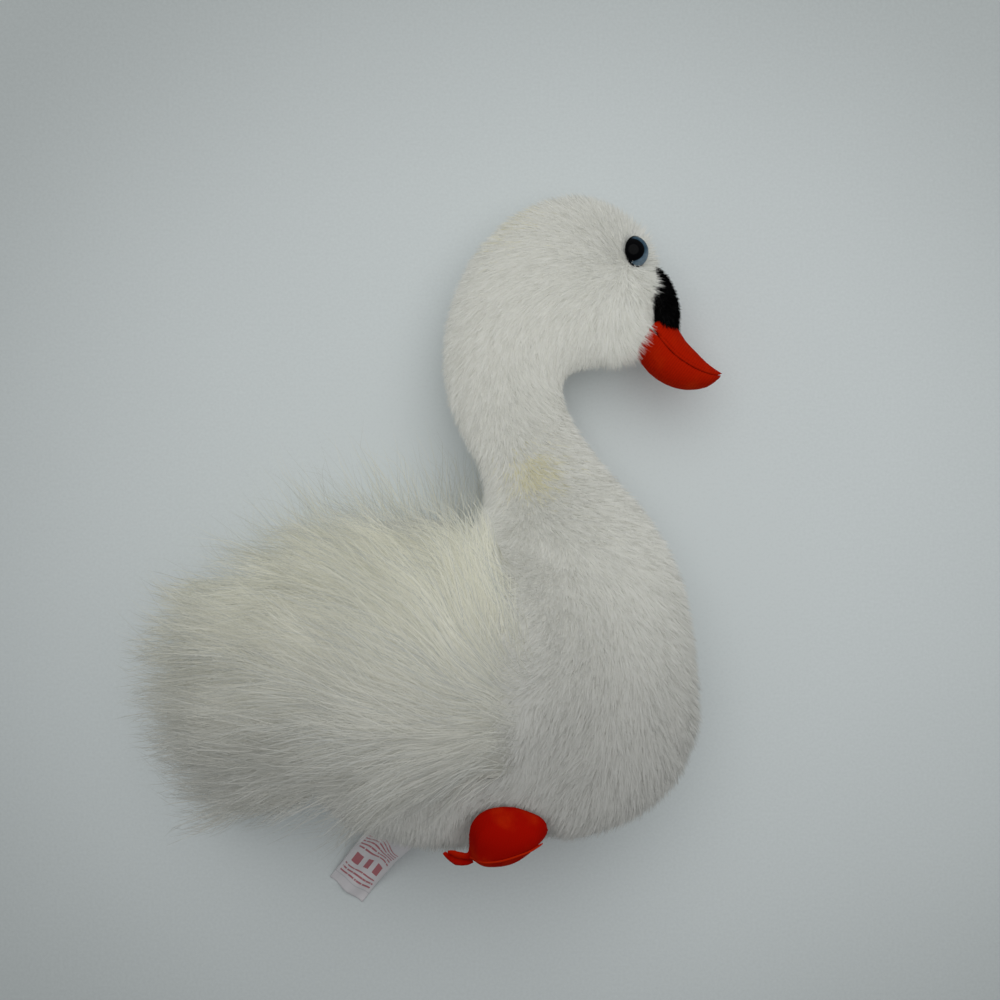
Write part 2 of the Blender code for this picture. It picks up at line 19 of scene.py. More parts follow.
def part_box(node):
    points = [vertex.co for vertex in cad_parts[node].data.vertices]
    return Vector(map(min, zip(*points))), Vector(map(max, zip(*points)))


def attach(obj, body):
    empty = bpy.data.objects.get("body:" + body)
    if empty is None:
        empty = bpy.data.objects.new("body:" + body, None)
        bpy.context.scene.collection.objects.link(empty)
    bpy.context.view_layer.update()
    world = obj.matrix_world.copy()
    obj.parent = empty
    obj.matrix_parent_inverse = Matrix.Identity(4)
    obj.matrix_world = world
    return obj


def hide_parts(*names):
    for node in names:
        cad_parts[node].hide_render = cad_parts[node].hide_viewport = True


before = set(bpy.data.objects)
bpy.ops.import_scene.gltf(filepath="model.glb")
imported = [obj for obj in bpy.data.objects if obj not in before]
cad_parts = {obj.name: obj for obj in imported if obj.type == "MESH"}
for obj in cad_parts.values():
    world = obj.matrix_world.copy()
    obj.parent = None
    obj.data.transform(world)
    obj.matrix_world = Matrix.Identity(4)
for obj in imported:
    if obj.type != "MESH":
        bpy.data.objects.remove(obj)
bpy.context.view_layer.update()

MM = 0.001
print("nodes in the frame:", len(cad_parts))

# %% [markdown]
# Places on the swan are easiest to read off a straight-down view, so most of them are written as
# millimetres in the plan of the frame: X runs the way the breast faces and Y up the neck. The
# height comes from the solids themselves, by dropping a ray on them.

# %% Rays and meshes


def tree_of(*meshes):
    """One search tree over several meshes."""
    bm = bmesh.new()
    for mesh in meshes:
        bm.from_mesh(mesh)
    tree = BVHTree.FromBMesh(bm)
    bm.free()
    return tree


def top_of(tree, x, y, default=None):
    """The height of whatever lies under the sky at this place."""
    hit = tree.ray_cast(Vector((x, y, 1.0)), Vector((0, 0, -1)))[0]
    return hit.z if hit else default


def as_array(items, name, width, kind=np.float32):
    out = np.empty(len(items) * width, kind)
    items.foreach_get(name, out)
    return out.reshape(-1, width) if width > 1 else out


def new_object(name, mesh):
    obj = bpy.data.objects.new(name, mesh)
    bpy.context.scene.collection.objects.link(obj)
    return obj


def settled(obj):
    """The object as its modifiers show it, as a plain mesh object; the old one is removed."""
    graph = bpy.context.evaluated_depsgraph_get()
    mesh = bpy.data.meshes.new_from_object(obj.evaluated_get(graph))
    name = mesh.name = obj.name
    bpy.data.objects.remove(obj)
    return new_object(name, mesh)


def surface(mesh, kind=float):
    """The places and the normals of a mesh's points."""
    return [as_array(mesh.vertices, name, 3).astype(kind) for name in ("co", "normal")]


def move_to(mesh, places):
    mesh.vertices.foreach_set("co", places.astype(np.float32).ravel())
    mesh.update()


def dressed(obj, material):
    """Gives a piece its one material and smooth shading."""
    obj.data.materials.clear()
    obj.data.materials.append(material)
    obj.data.shade_smooth()
    return obj


def mesh_from(bm, name):
    mesh = bpy.data.meshes.new(name)
    bm.to_mesh(mesh)
    bm.free()
    return mesh


def joined_mesh(name, *meshes):
    bm = bmesh.new()
    for mesh in meshes:
        bm.from_mesh(mesh)
    bmesh.ops.remove_doubles(bm, verts=bm.verts, dist=0.01 * MM)
    bmesh.ops.recalc_face_normals(bm, faces=bm.faces)
    return mesh_from(bm, name)


NODES = {name: joined_mesh(name + "_solid", node.data) for name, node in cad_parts.items()}
print("solids read:", {name: len(mesh.polygons) for name, mesh in NODES.items()})

# %% [markdown]
# Node maths reads better as Python than as a list of links. Wire wraps one output socket, so that
# a + b, 1 - a or a * 3 add the Math nodes. Graph holds one node tree and adds any other node from
# its type, its settings and its inputs. Materials and geometry nodes both use it.

# %% Node expressions


class Wire:
    """One value in a node tree. Arithmetic on it adds Math nodes."""

    def __init__(self, graph, socket):
        self.graph = graph
        self.socket = socket

    def maths(self, operation, *values):
        return self.graph.node("ShaderNodeMath", {"operation": operation},
                               dict(enumerate(values)))

    def __add__(self, other):
        return self.maths("ADD", self, other)

    def __radd__(self, other):
        return self.maths("ADD", other, self)

    def __sub__(self, other):
        return self.maths("SUBTRACT", self, other)

    def __rsub__(self, other):
        return self.maths("SUBTRACT", other, self)

    def __mul__(self, other):
        return self.maths("MULTIPLY", self, other)

    def __rmul__(self, other):
        return self.maths("MULTIPLY", other, self)

    def __truediv__(self, other):
        return self.maths("DIVIDE", self, other)

    def __rtruediv__(self, other):
        return self.maths("DIVIDE", other, self)

    def __pow__(self, other):
        return self.maths("POWER", self, other)

    def __gt__(self, other):
        return self.maths("GREATER_THAN", self, other)

    def __lt__(self, other):
        return self.maths("LESS_THAN", self, other)

    def between(self, low, high):
        """0 below low, 1 above high and a smooth ramp from one to the other."""
        return self.graph.node(
            "ShaderNodeMapRange", {"interpolation_type": "SMOOTHSTEP"},
            {"Value": self, "From Min": low, "From Max": high})


class Graph:
    """A node tree, with one way to add any node to it."""

    def __init__(self, tree):
        self.tree = tree

    def feed(self, socket, value):
        if isinstance(value, Wire):
            self.tree.links.new(value.socket, socket)
        elif socket.type == "RGBA" and len(value) == 3:
            socket.default_value = (*value, 1.0)
        else:
            socket.default_value = value

    def node(self, kind, settings=None, sockets=None, output=0):
        made = self.tree.nodes.new(kind)
        for name, value in (settings or {}).items():
            setattr(made, name, value)
        for name, value in (sockets or {}).items():
            self.feed(made.inputs[name], value)
        return Wire(self, made.outputs[output])

    def vector(self, operation, *values, output=0):
        return self.node("ShaderNodeVectorMath", {"operation": operation},
                         dict(enumerate(values)), output)

    def scaled(self, vector, amount):
        return self.node("ShaderNodeVectorMath", {"operation": "SCALE"},
                         {"Vector": vector, "Scale": amount})

    def parts(self, vector):
        split = self.node("ShaderNodeSeparateXYZ", None, {"Vector": vector})
        return [Wire(self, out) for out in split.socket.node.outputs]

    def together(self, x, y, z):
        return self.node("ShaderNodeCombineXYZ", None, {"X": x, "Y": y, "Z": z})

    def noise(self, vector, scale, detail=3.0, roughness=0.55, output="Fac"):
        return self.node("ShaderNodeTexNoise", None, {
            "Vector": vector, "Scale": scale, "Detail": detail, "Roughness": roughness},
            output)


class Finish(Graph):
    """One material with a Principled shader."""

    def __init__(self, name, colour=None, **shader_values):
        self.material = bpy.data.materials.new(name)
        self.material.use_nodes = True
        super().__init__(self.material.node_tree)
        self.shader = self.tree.nodes["Principled BSDF"]
        if colour:
            self.set("Base Color", colour)
            self.material.diffuse_color = (*colour, 1.0)
        for socket, value in shader_values.items():
            self.set(socket.replace("_", " "), value)

    def set(self, socket, value):
        self.feed(self.shader.inputs[socket], value)

    def place(self):
        """Where on the piece: object coordinates, in metres."""
        return self.node("ShaderNodeTexCoord", output="Object")

    def uv(self):
        return self.node("ShaderNodeTexCoord", output="UV")

    def mapped(self, vector, location=(0, 0, 0), rotation=(0, 0, 0), scale=(1, 1, 1)):
        return self.node("ShaderNodeMapping", {"vector_type": "TEXTURE"}, {
            "Vector": vector, "Location": location, "Rotation": rotation, "Scale": scale})

    def mix(self, share, first, second):
        made = self.node("ShaderNodeMix", {"data_type": "RGBA"}, None, 2)
        for place, value in ((0, share), (6, first), (7, second)):
            self.feed(made.socket.node.inputs[place], value)
        return made

    def bump(self, height, distance, strength=1.0):
        normal = self.node("ShaderNodeBump", None, {
            "Height": height, "Distance": distance, "Strength": strength})
        self.set("Normal", normal)


print("node helpers ready")

# %% [markdown]
# The photograph looks straight down on the table. The camera stands high over the swan's middle,
# with a field that shows 450 mm at the middle of its thickness. The light is a large soft source
# up and to the right, so the left of the neck and the underside of the chin fall into shade, with
# a pale sky that fills the rest. The table is a plain matt sheet with a faint mottling. Its colour
# is painted darker away from the breast, as painted fall-off of the light.

# %% Camera, lamps and table
FIELD = 450 * MM
FIELD_HEIGHT = 50 * MM
CAMERA_HEIGHT = 700 * MM
VIEW_MIDDLE = (9 * MM, 80 * MM)
SENSOR = 36.0

TABLE_COLOUR = (0.735, 0.785, 0.785)
# The colour the table is painted towards its edges: painted fall-off of the light.
TABLE_DIM_COLOUR = (0.47, 0.505, 0.50)
TABLE_SIZE = 4.0
SKY_COLOUR = (0.95, 0.98, 1.0)
SKY_BEHIND = 0.42
SKY_BEFORE = 0.18
LAMP_PLACE = (0.12, 0.32, 0.80)
LAMP_AIM = (0.03, 0.12, 0.0)
LAMP_SIZE = 1.10
LAMP_POWER = 3.7


def make_camera():
    data = bpy.data.cameras.new("camera")
    data.sensor_fit = "HORIZONTAL"
    data.sensor_width = SENSOR
    data.lens = SENSOR * (CAMERA_HEIGHT - FIELD_HEIGHT) / FIELD
    camera = new_object("camera", data)
    camera.location = (*VIEW_MIDDLE, CAMERA_HEIGHT)
    bpy.context.scene.camera = camera


def make_lamps():
    world = bpy.data.worlds.new("sky")
    world.use_nodes = True
    sky = Graph(world.node_tree)
    way = sky.node("ShaderNodeTexCoord", output="Generated")
    _, north, _ = sky.parts(way)
    strength = SKY_BEFORE + north.between(-0.9, 0.7) * (SKY_BEHIND - SKY_BEFORE)
    background = world.node_tree.nodes["Background"]
    sky.feed(background.inputs["Color"], SKY_COLOUR)
    sky.feed(background.inputs["Strength"], strength)
    bpy.context.scene.world = world
    data = bpy.data.lights.new("window", "AREA")
    data.shape = "DISK"
    data.size = LAMP_SIZE
    data.energy = LAMP_POWER
    lamp = new_object("window", data)
    lamp.location = LAMP_PLACE
    lamp.visible_camera = False
    aim = Vector(LAMP_AIM) - Vector(LAMP_PLACE)
    lamp.rotation_euler = aim.to_track_quat("-Z", "Y").to_euler()


def make_table():
    finish = Finish("table_paper", Roughness=0.85)
    place = finish.place()
    x, y, _ = finish.parts(finish.mapped(place, location=(0.03, 0.06, 0), scale=(0.31, 0.27, 1)))
    # Painted shade: the colour darkens away from the middle, as the light falls off across the
    # table.
    away = (x * x + y * y).between(0.0, 1.5)
    cloud = finish.noise(place, 7.0, 2.0)
    grain = finish.noise(place, 700.0, 2.0)
    share = away * 0.8 + (cloud - 0.5) * 0.12 + (grain - 0.5) * 0.35
    finish.set("Base Color", finish.mix(share, TABLE_COLOUR, TABLE_DIM_COLOUR))
    half = TABLE_SIZE / 2
    mesh = bpy.data.meshes.new("table")
    corners = [(-half, -half, 0), (half, -half, 0), (half, half, 0), (-half, half, 0)]
    mesh.from_pydata(corners, [], [(0, 1, 2, 3)])
    mesh.materials.append(finish.material)
    new_object("table", mesh)


bpy.context.scene.view_settings.view_transform = "Standard"
make_camera()
make_lamps()
make_table()
print("camera field at mid height, mm:", FIELD / MM)

# %% [markdown]
# Plush has a nap: the pile leans the way the cloth was combed. A comb is a handful of stroke lines
# in plan. Anywhere else the nap follows the nearest strokes, weighted by their distance, which
# gives one smooth direction field with no seams in it.

# %% Combing


class Comb:
    """A direction in plan for every place, from a few strokes."""

    def __init__(self, strokes, reach):
        places, ways = [], []
        for stroke in strokes:
            line = resampled(np.array(stroke, float) * MM, 4 * MM)
            steps = np.gradient(line, axis=0)
            places.append(line)
            ways.append(steps / np.linalg.norm(steps, axis=1, keepdims=True))
        self.places = np.concatenate(places)
        self.ways = np.concatenate(ways)
        self.reach = reach

    def at(self, xy):
        """Unit directions for an array of places."""
        out = np.empty_like(xy)
        for start in range(0, len(xy), 4000):
            part = xy[start:start + 4000]
            square = ((part[:, None, :] - self.places[None, :, :]) ** 2).sum(2)
            weight = 1.0 / (square + self.reach ** 2) ** 2
            out[start:start + 4000] = (weight[:, :, None] * self.ways[None, :, :]).sum(1)
        return out / np.maximum(np.linalg.norm(out, axis=1, keepdims=True), 1e-9)


def resampled(line, step):
    """Evenly spaced points along a smooth curve through the given ones."""
    dense = []
    last = len(line) - 1
    for i in range(last):
        before = line[i - 1] if i else 2 * line[0] - line[1]
        after = line[i + 2] if i + 2 <= last else 2 * line[last] - line[last - 1]
        a, b = line[i], line[i + 1]
        for t in np.linspace(0, 1, 16, endpoint=False):
            dense.append(0.5 * (
                2 * a + (b - before) * t + (2 * before - 5 * a + 4 * b - after) * t ** 2
                + (3 * a - before - 3 * b + after) * t ** 3))
    dense = np.array(dense + [line[last]])
    along = np.concatenate([[0], np.cumsum(np.linalg.norm(np.diff(dense, axis=0), axis=1))])
    places = np.linspace(0, along[-1], max(int(along[-1] / step), 2) + 1)
    return np.stack([np.interp(places, along, column) for column in dense.T], 1)


PLUSH_STROKES = [
    [(70, 196), (56, 211), (40, 216), (22, 213), (2, 200), (-9, 180)],
    [(66, 190), (45, 198), (22, 192), (4, 176), (-6, 158)],
    [(60, 184), (40, 182), (20, 170), (8, 150), (4, 130)],
    [(66, 180), (50, 172), (36, 158), (30, 140), (30, 122)],
    [(70, 176), (60, 164), (52, 152), (48, 141)],
    [(72, 172), (68, 162), (68, 152), (74, 144)],
    [(66, 180), (72, 176), (78, 171)],
    [(60, 166), (67, 158), (74, 151)],
    [(71, 197), (76, 198), (80, 197)],
    [(72, 190), (78, 190), (83, 188)],
    [(-14, 160), (-12, 130), (0, 98), (10, 80)],
    [(18, 148), (22, 130), (28, 110), (48, 75), (64, 38), (70, -5), (62, -45)],
    [(45, 100), (66, 78), (86, 45), (95, 5), (96, -40)],
    [(18, 100), (30, 82), (46, 62), (60, 40)],
    [(72, 20), (70, -20), (66, -55), (54, -68)],
    [(62, 40), (50, 22), (32, 10), (10, 6)],
    [(36, 56), (28, 38), (14, 24)],
    [(58, 4), (42, -10), (22, -18), (6, -16)],
    [(48, -30), (26, -40), (6, -44)],
    [(20, -5), (24, -40), (18, -72)],
    [(-20, -30), (-22, -60), (-30, -80)],
    [(-60, 0), (-90, -20), (-120, -40)],
    [(0, 40), (-50, 45), (-90, 40)],
]
plush_comb = Comb(PLUSH_STROKES, 9 * MM)
print("plush strokes:", len(PLUSH_STROKES), "samples:", len(plush_comb.places))

# %% [markdown]
# The stuffed body. On the real toy it is a sewn skin of short plush, blown tight by its filling.
# It starts from the frame's solid, drawn in by the depth of the pile and a little more, so that a
# cloth simulation with air pressure inside can swell it back against its seams. The seams, the
# flat underside and the face are held still. A cap keeps every point near its place.

# %% The stuffed skin
PLUSH_PILE = 2.6 * MM
SWELL_ROOM = 1.2 * MM
SWELL_CAP = 4.0 * MM
SKIN_VOXEL = 3.6 * MM
SIM_FRAMES = 20
SIM_PRESSURE = 4.0
SEAM_HEIGHT = 56 * MM
SEAM_REACH = 3 * MM
TRUNK_TOP = 100 * MM
FLAT_BELOW = 16 * MM
FACE_CORNER = (64 * MM, 125 * MM)
EYE_PLUG_RADIUS = 8.0 * MM
EYE_PLUG_SINK = 5.5 * MM


def node_middle(name):
    low, high = (Vector(corner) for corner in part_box(name))
    return (low + high) / 2


def plugs():
    """Balls that fill the eye sockets, so that the skin closes over them."""
    bm = bmesh.new()
    head = node_middle("face_patch").z
    for side in ("right_eye", "left_eye"):
        eye = node_middle(side)
        way = Vector((0.5, 0, 1 if eye.z > head else -1)).normalized()
        made = bmesh.ops.create_icosphere(bm, subdivisions=3, radius=EYE_PLUG_RADIUS)
        bmesh.ops.translate(bm, vec=eye - way * EYE_PLUG_SINK, verts=made["verts"])
    return mesh_from(bm, "plugs")


def ground_cloth(name, mesh, inset, voxel, smooth=10):
    """The cloth that pile grows from: the solid, evened out and drawn in by the inset."""
    obj = new_object(name, mesh)
    remesh = obj.modifiers.new("remesh", "REMESH")
    remesh.mode = "VOXEL"
    remesh.voxel_size = voxel
    even = obj.modifiers.new("even", "SMOOTH")
    even.factor = 0.5
    even.iterations = smooth
    obj = settled(obj)
    places, normals = surface(obj.data, np.float32)
    depth = inset(places) if callable(inset) else np.full(len(places), inset)
    move_to(obj.data, places - normals * depth[:, None].astype(np.float32))
    relax = obj.modifiers.new("relax", "SMOOTH")
    relax.factor = 0.5
    relax.iterations = 4
    return settled(obj)


def blown_up(obj, pinned):
    """Swells a closed skin by cloth simulation with air pressure, then caps how far it went."""
    rest = as_array(obj.data.vertices, "co", 3)
    group = obj.vertex_groups.new(name="held")
    for index in np.nonzero(pinned > 0)[0]:
        group.add([int(index)], float(pinned[index]), "REPLACE")
    cloth = obj.modifiers.new("cloth", "CLOTH")
    cloth.settings.vertex_group_mass = "held"
    cloth.settings.use_pressure = True
    cloth.settings.uniform_pressure_force = SIM_PRESSURE
    cloth.settings.effector_weights.gravity = 0.0
    cloth.settings.quality = 4
    cloth.collision_settings.use_collision = False
    cloth.point_cache.frame_end = SIM_FRAMES
    scene = bpy.context.scene
    for step in range(1, SIM_FRAMES + 1):
        scene.frame_set(step)
    out = settled(obj)
    scene.frame_set(1)
    moved = as_array(out.data.vertices, "co", 3) - rest
    far = np.linalg.norm(moved, axis=1, keepdims=True)
    moved *= np.minimum(1.0, SWELL_CAP / np.maximum(far, 1e-9))
    move_to(out.data, rest + moved)
    print(out.name, "swelled by up to", round(float(far.max()) / MM, 2), "mm")
    return out


SHOULDER_MIDDLE = (14 * MM, 8 * MM)
SHOULDER_SLANT = 0.20
SHOULDER_BLEND = 26 * MM
SHOULDER_CUT = -6 * MM
SHOULDER_SINK = 1.5 * MM
SHOULDER_NARROWING = 0.08


def behind_shoulder(places):
    """0 on the smooth shoulder of the near wing, 1 where its long pile grows."""
    edge = SHOULDER_MIDDLE[0] - np.abs(places[:, 1] - SHOULDER_MIDDLE[1]) * SHOULDER_SLANT
    return np.clip((edge - places[:, 0]) / SHOULDER_BLEND + 0.5, 0, 1)


def shoulder():
    """The front of the near wing, closed, for the body's skin to run over without a seam."""
    bm = bmesh.new()
    bm.from_mesh(NODES["right_wing"])
    cut = bmesh.ops.bisect_plane(
        bm, geom=[*bm.verts, *bm.edges, *bm.faces], plane_co=(SHOULDER_CUT, 0, 0),
        plane_no=(-1, 0, 0), clear_outer=True)
    edges = [item for item in cut["geom_cut"] if isinstance(item, bmesh.types.BMEdge)]
    bmesh.ops.holes_fill(bm, edges=edges)
    for vert in bm.verts:
        vert.co.z -= SHOULDER_SINK
        vert.co.y += (SHOULDER_MIDDLE[1] - vert.co.y) * SHOULDER_NARROWING
    return mesh_from(bm, "shoulder")


FACE_MIDDLE = (74 * MM, 178 * MM)
FACE_REACH = 20 * MM
FACE_INSET = 2.2 * MM


def body_inset(places):
    """Deep where the pile is long, and shallow round the eyes, the patch and the beak."""
    away = np.linalg.norm(places[:, :2] - np.array(FACE_MIDDLE), axis=1)
    face = np.exp(-(away / FACE_REACH) ** 4)
    return (PLUSH_PILE + SWELL_ROOM) * (1 - face) + FACE_INSET * face


def held_still(places):
    """1 where the skin can't swell: at the trunk's seam, on its flat underside and at the face."""
    x, y, z = places.T
    seam = (1 - np.clip(np.abs(z - SEAM_HEIGHT) / SEAM_REACH, 0, 1)) * (y < TRUNK_TOP)
    face = (x > FACE_CORNER[0]) & (y > FACE_CORNER[1])
    return np.maximum.reduce([seam, (z < FLAT_BELOW).astype(float), face.astype(float)])


body_skin = ground_cloth(
    "body_skin", joined_mesh("body_skin", NODES["body_plush"], plugs(), shoulder()),
    body_inset, SKIN_VOXEL)
body_skin = blown_up(body_skin, held_still(as_array(body_skin.data.vertices, "co", 3)))
print("body skin points:", len(body_skin.data.vertices))

# %% [markdown]
# Stuffing never lies even. A few soft folds run where the wing's root pulls on the skin and where
# the filling has settled in the breast. Each fold is a groove along a short line in plan, pressed
# into the upper side of the skin.

# %% Folds in the stuffing
FOLDS = [
    ([(22, 60), (32, 55), (45, 50), (53, 36), (56, 20)], 4.5, 1.2),
    ([(60, 40), (66, 33), (73, 27)], 3.5, 1.2),
    ([(61, -2), (64, -12), (66, -22)], 4.0, 1.6),
    ([(85, 5), (80, -12), (86, -28)], 5.0, 2.0),
    ([(44, 124), (36, 120), (28, 124)], 5.0, 1.5),
    ([(-5, -62), (3, -56), (14, -54), (24, -57), (31, -64)], 5.0, 4.5),
]
FOLDS_FROM = 50 * MM
FOLDS_FADE = 15 * MM


def pressed_in(obj, folds):
    places, normals = surface(obj.data, np.float32)
    depth = np.zeros(len(places))
    for line, width, deep in folds:
        points = resampled(np.array(line, float) * MM, 1.5 * MM)
        square = ((places[:, None, :2] - points[None]) ** 2).sum(2).min(1)
        depth = np.maximum(depth, deep * MM * np.exp(-square / (width * MM) ** 2))
    depth *= np.clip((places[:, 2] - FOLDS_FROM) / FOLDS_FADE, 0, 1)
    move_to(obj.data, places - normals * depth[:, None].astype(np.float32))


pressed_in(body_skin, FOLDS)
body_skin.data.shade_smooth()
print("folds pressed in:", len(FOLDS))

# %% [markdown]
# Pile is real geometry here. A strand is a closed spike with three sides, bent along a curve and
# drawn to a point, and geometry nodes put thousands of them on the ground cloth. Each point of the
# cloth says where a strand's middle and tip should lie, so that a long one can follow the shape
# under it. Strands in one lock lean on each other, and each has a small stray of its own. Their
# shading normals are mostly those of the cloth below, as light in real pile is spread so softly
# that single hairs hardly show.

# %% The tree that grows pile
PILE_INPUTS = {
    "Ground cloth": "Geometry",
    "Strands per square metre": "Float",
    "Seed": "Int",
    "Segments": "Int",
    "Width": "Float",
    "Flatness": "Float",
    "Length spread": "Float",
    "Stray": "Float",
    "Lock size": "Float",
    "Lock pull": "Float",
    "Lock shade": "Float",
    "Wave size": "Float",
    "Wave": "Float",
    "Softness": "Float",
    "Bright": "Material",
    "Plain": "Material",
    "Deep": "Material",
    "Stain or shade": "Material",
}
LEAST_HEIGHT = 0.25 * MM
PLAIN_SHARE = 0.62
DEEP_SHARE = 0.20


class Growth(Graph):
    """A geometry node tree with named inputs."""

    def __init__(self, name, inputs):
        super().__init__(bpy.data.node_groups.new(name, "GeometryNodeTree"))
        face = self.tree.interface
        self.identifiers = {
            label: face.new_socket(
                label, in_out="INPUT", socket_type="NodeSocket" + kind).identifier
            for label, kind in inputs.items()}
        face.new_socket("Result", in_out="OUTPUT", socket_type="NodeSocketGeometry")
        self.entrance = self.tree.nodes.new("NodeGroupInput")
        self.way_out = self.tree.nodes.new("NodeGroupOutput")

    def value(self, label):
        return Wire(self, self.entrance.outputs[label])

    def finish(self, geometry):
        self.feed(self.way_out.inputs["Result"], geometry)

    def read(self, name, kind="FLOAT_VECTOR"):
        return self.node("GeometryNodeInputNamedAttribute", {"data_type": kind}, {"Name": name})

    def store(self, geometry, name, value, kind="FLOAT_VECTOR"):
        return self.node("GeometryNodeStoreNamedAttribute", {"data_type": kind},
                         {"Geometry": geometry, "Name": name, "Value": value})

    def chance(self, salt, low=0.0, high=1.0):
        return self.node("FunctionNodeRandomValue", {"data_type": "FLOAT"},
                         {2: low, 3: high, "Seed": self.value("Seed") + salt}, 1)

    def chance_vector(self, salt):
        return self.node("FunctionNodeRandomValue", {"data_type": "FLOAT_VECTOR"},
                         {0: (-1, -1, -1), 1: (1, 1, 1), "Seed": self.value("Seed") + salt}, 0)

    def without(self, geometry, *names):
        for name in names:
            geometry = self.node("GeometryNodeRemoveAttribute", None,
                                 {"Geometry": geometry, "Name": name})
        return geometry

    def painted(self, geometry, material, chosen=True):
        return self.node("GeometryNodeSetMaterial", None,
                         {"Geometry": geometry, "Selection": chosen, "Material": material})


def rooted_points(g):
    """Points on the cloth. Each one carries its own curve and its own luck."""
    density = g.value("Strands per square metre") * g.read("thick", "FLOAT")
    points = g.node("GeometryNodeDistributePointsOnFaces", {"distribute_method": "RANDOM"},
                    {"Mesh": g.value("Ground cloth"), "Density": density,
                     "Seed": g.value("Seed")})
    out = Wire(g, points.socket.node.outputs["Normal"])
    length = 1 + g.chance(1, -1, 1) * g.value("Length spread")
    reach = g.vector("LENGTH", g.read("tip"), output=1)
    stray = g.scaled(g.chance_vector(2), reach * g.value("Stray"))
    tip = g.vector("ADD", g.scaled(g.read("tip"), length), stray)
    bend = g.scaled(g.chance_vector(6), reach * g.value("Stray") * 0.6)
    mid = g.vector("ADD", g.scaled(g.read("mid"), length),
                   g.vector("ADD", bend, g.scaled(stray, 0.3)))
    points = g.store(points, "root", g.node("GeometryNodeInputPosition"))
    points = g.store(points, "out", out)
    points = g.store(points, "tip", tip)
    points = g.store(points, "mid", mid)
    points = g.store(points, "luck", g.chance(3), "FLOAT")
    points = g.store(points, "stain_or_shade_luck", g.chance(4), "FLOAT")
    return g.store(points, "roll", g.chance_vector(5))


def spike(g):
    """One straight strand of length 1, which remembers its height and its sides."""
    cone = g.node("GeometryNodeMeshCone", None, {
        "Vertices": 3, "Side Segments": g.value("Segments"), "Radius Top": 0.0,
        "Radius Bottom": 1.0, "Depth": 1.0})
    x, y, height = g.parts(g.node("GeometryNodeInputPosition"))
    width = (1.0 - height).maths("MAXIMUM", 1.0 - height, 0.01)
    cone = g.store(cone, "height", height, "FLOAT")
    return g.store(cone, "side", g.together(x / width, y / width, 0.0))


def pile_tree():
    g = Growth("pile", PILE_INPUTS)
    strands = g.node("GeometryNodeInstanceOnPoints", None,
                     {"Points": rooted_points(g), "Instance": spike(g)})
    strands = g.node("GeometryNodeRealizeInstances", None, {"Geometry": strands})
    t = g.read("height", "FLOAT")
    root, out, mid, tip = (g.read(name) for name in ("root", "out", "mid", "tip"))
    line = g.vector("ADD", g.scaled(mid, 2 * t * (1 - t)), g.scaled(tip, t * t))
    along = g.vector("ADD", g.scaled(mid, 2 - 4 * t), g.scaled(tip, 2 * t))
    rolled = g.vector("ADD", out, g.scaled(g.read("roll"), 0.5))
    across = g.vector("NORMALIZE", g.vector("CROSS_PRODUCT", along, rolled))
    up = g.vector("NORMALIZE", g.vector("CROSS_PRODUCT", across, along))
    side_x, side_y, _ = g.parts(g.read("side"))
    half = g.value("Width") * 0.5 * (1 - t ** 2.2)
    flat = half * g.value("Flatness")
    girth = g.vector("ADD", g.scaled(across, side_x * half), g.scaled(up, side_y * flat))
    lock = g.node("ShaderNodeTexVoronoi", None,
                  {"Vector": root, "Scale": 1 / g.value("Lock size")}, "Position")
    lock_luck, _, _ = g.parts(Wire(g, lock.socket.node.outputs["Color"]))
    pull = g.vector("SUBTRACT", lock, root)
    rise = g.vector("DOT_PRODUCT", pull, out, output=1)
    pull = g.vector("SUBTRACT", pull, g.scaled(out, rise))
    pull = g.scaled(pull, g.value("Lock pull") * t)
    spot = g.vector("ADD", root, line)
    wave = g.noise(spot, 1 / g.value("Wave size"), 1.0, output="Color")
    wave = g.scaled(g.vector("SUBTRACT", wave, (0.5, 0.5, 0.5)), g.value("Wave") * t)
    for offset in (girth, pull, wave):
        spot = g.vector("ADD", spot, offset)
    x, y, z = g.parts(spot)
    spot = g.together(x, y, z.maths("MAXIMUM", z, LEAST_HEIGHT))
    strands = g.node("GeometryNodeSetPosition", None, {"Geometry": strands, "Position": spot})
    soft = g.value("Softness")
    round_it = g.vector("NORMALIZE", g.vector(
        "ADD", g.scaled(across, side_x), g.scaled(up, side_y)))
    shade = g.vector("ADD", g.scaled(out, soft), g.scaled(round_it, 1 - soft))
    strands = g.node("GeometryNodeSetMeshNormal", {"mode": "FREE", "domain": "POINT"},
                     {"Mesh": strands, "Custom Normal": g.vector("NORMALIZE", shade)})
    # Lock shade gives whole locks one shade: painted light and shade on the locks.
    shared = g.value("Lock shade")
    luck = g.read("luck", "FLOAT") * (1 - shared) + lock_luck * shared
    strands = g.painted(strands, g.value("Bright"))
    strands = g.painted(strands, g.value("Plain"), luck < PLAIN_SHARE)
    strands = g.painted(strands, g.value("Deep"), luck < DEEP_SHARE)
    # On the long pile this slot holds grey strands, painted shade for the gaps between locks; on
    # the white plush it holds the yellowed age stains.
    stained_or_shaded = g.read("stain_or_shade_luck", "FLOAT") < g.read("stain_or_shade", "FLOAT")
    strands = g.painted(strands, g.value("Stain or shade"), stained_or_shaded)
    g.finish(g.without(strands, "height", "side", "root", "out", "mid", "tip", "roll", "luck",
                       "stain_or_shade_luck", "stain_or_shade", "thick", "id"))
    return g


PILE = pile_tree()
print("pile tree nodes:", len(PILE.tree.nodes))


def run_through(obj, growth, values):
    """The object as the node tree makes it from the given inputs."""
    modifier = obj.modifiers.new(growth.tree.name, "NODES")
    modifier.node_group = growth.tree
    for label, value in values.items():
        modifier[growth.identifiers[label.replace("_", " ")]] = value
    return settled(obj)


def grown(name, cloth, **values):
    """Pile on a copy of the cloth, as a plain mesh of its own."""
    obj = run_through(new_object(name, cloth.data.copy()), PILE, values)
    print(name, "triangles:", sum(len(face.vertices) - 2 for face in obj.data.polygons))
    return obj


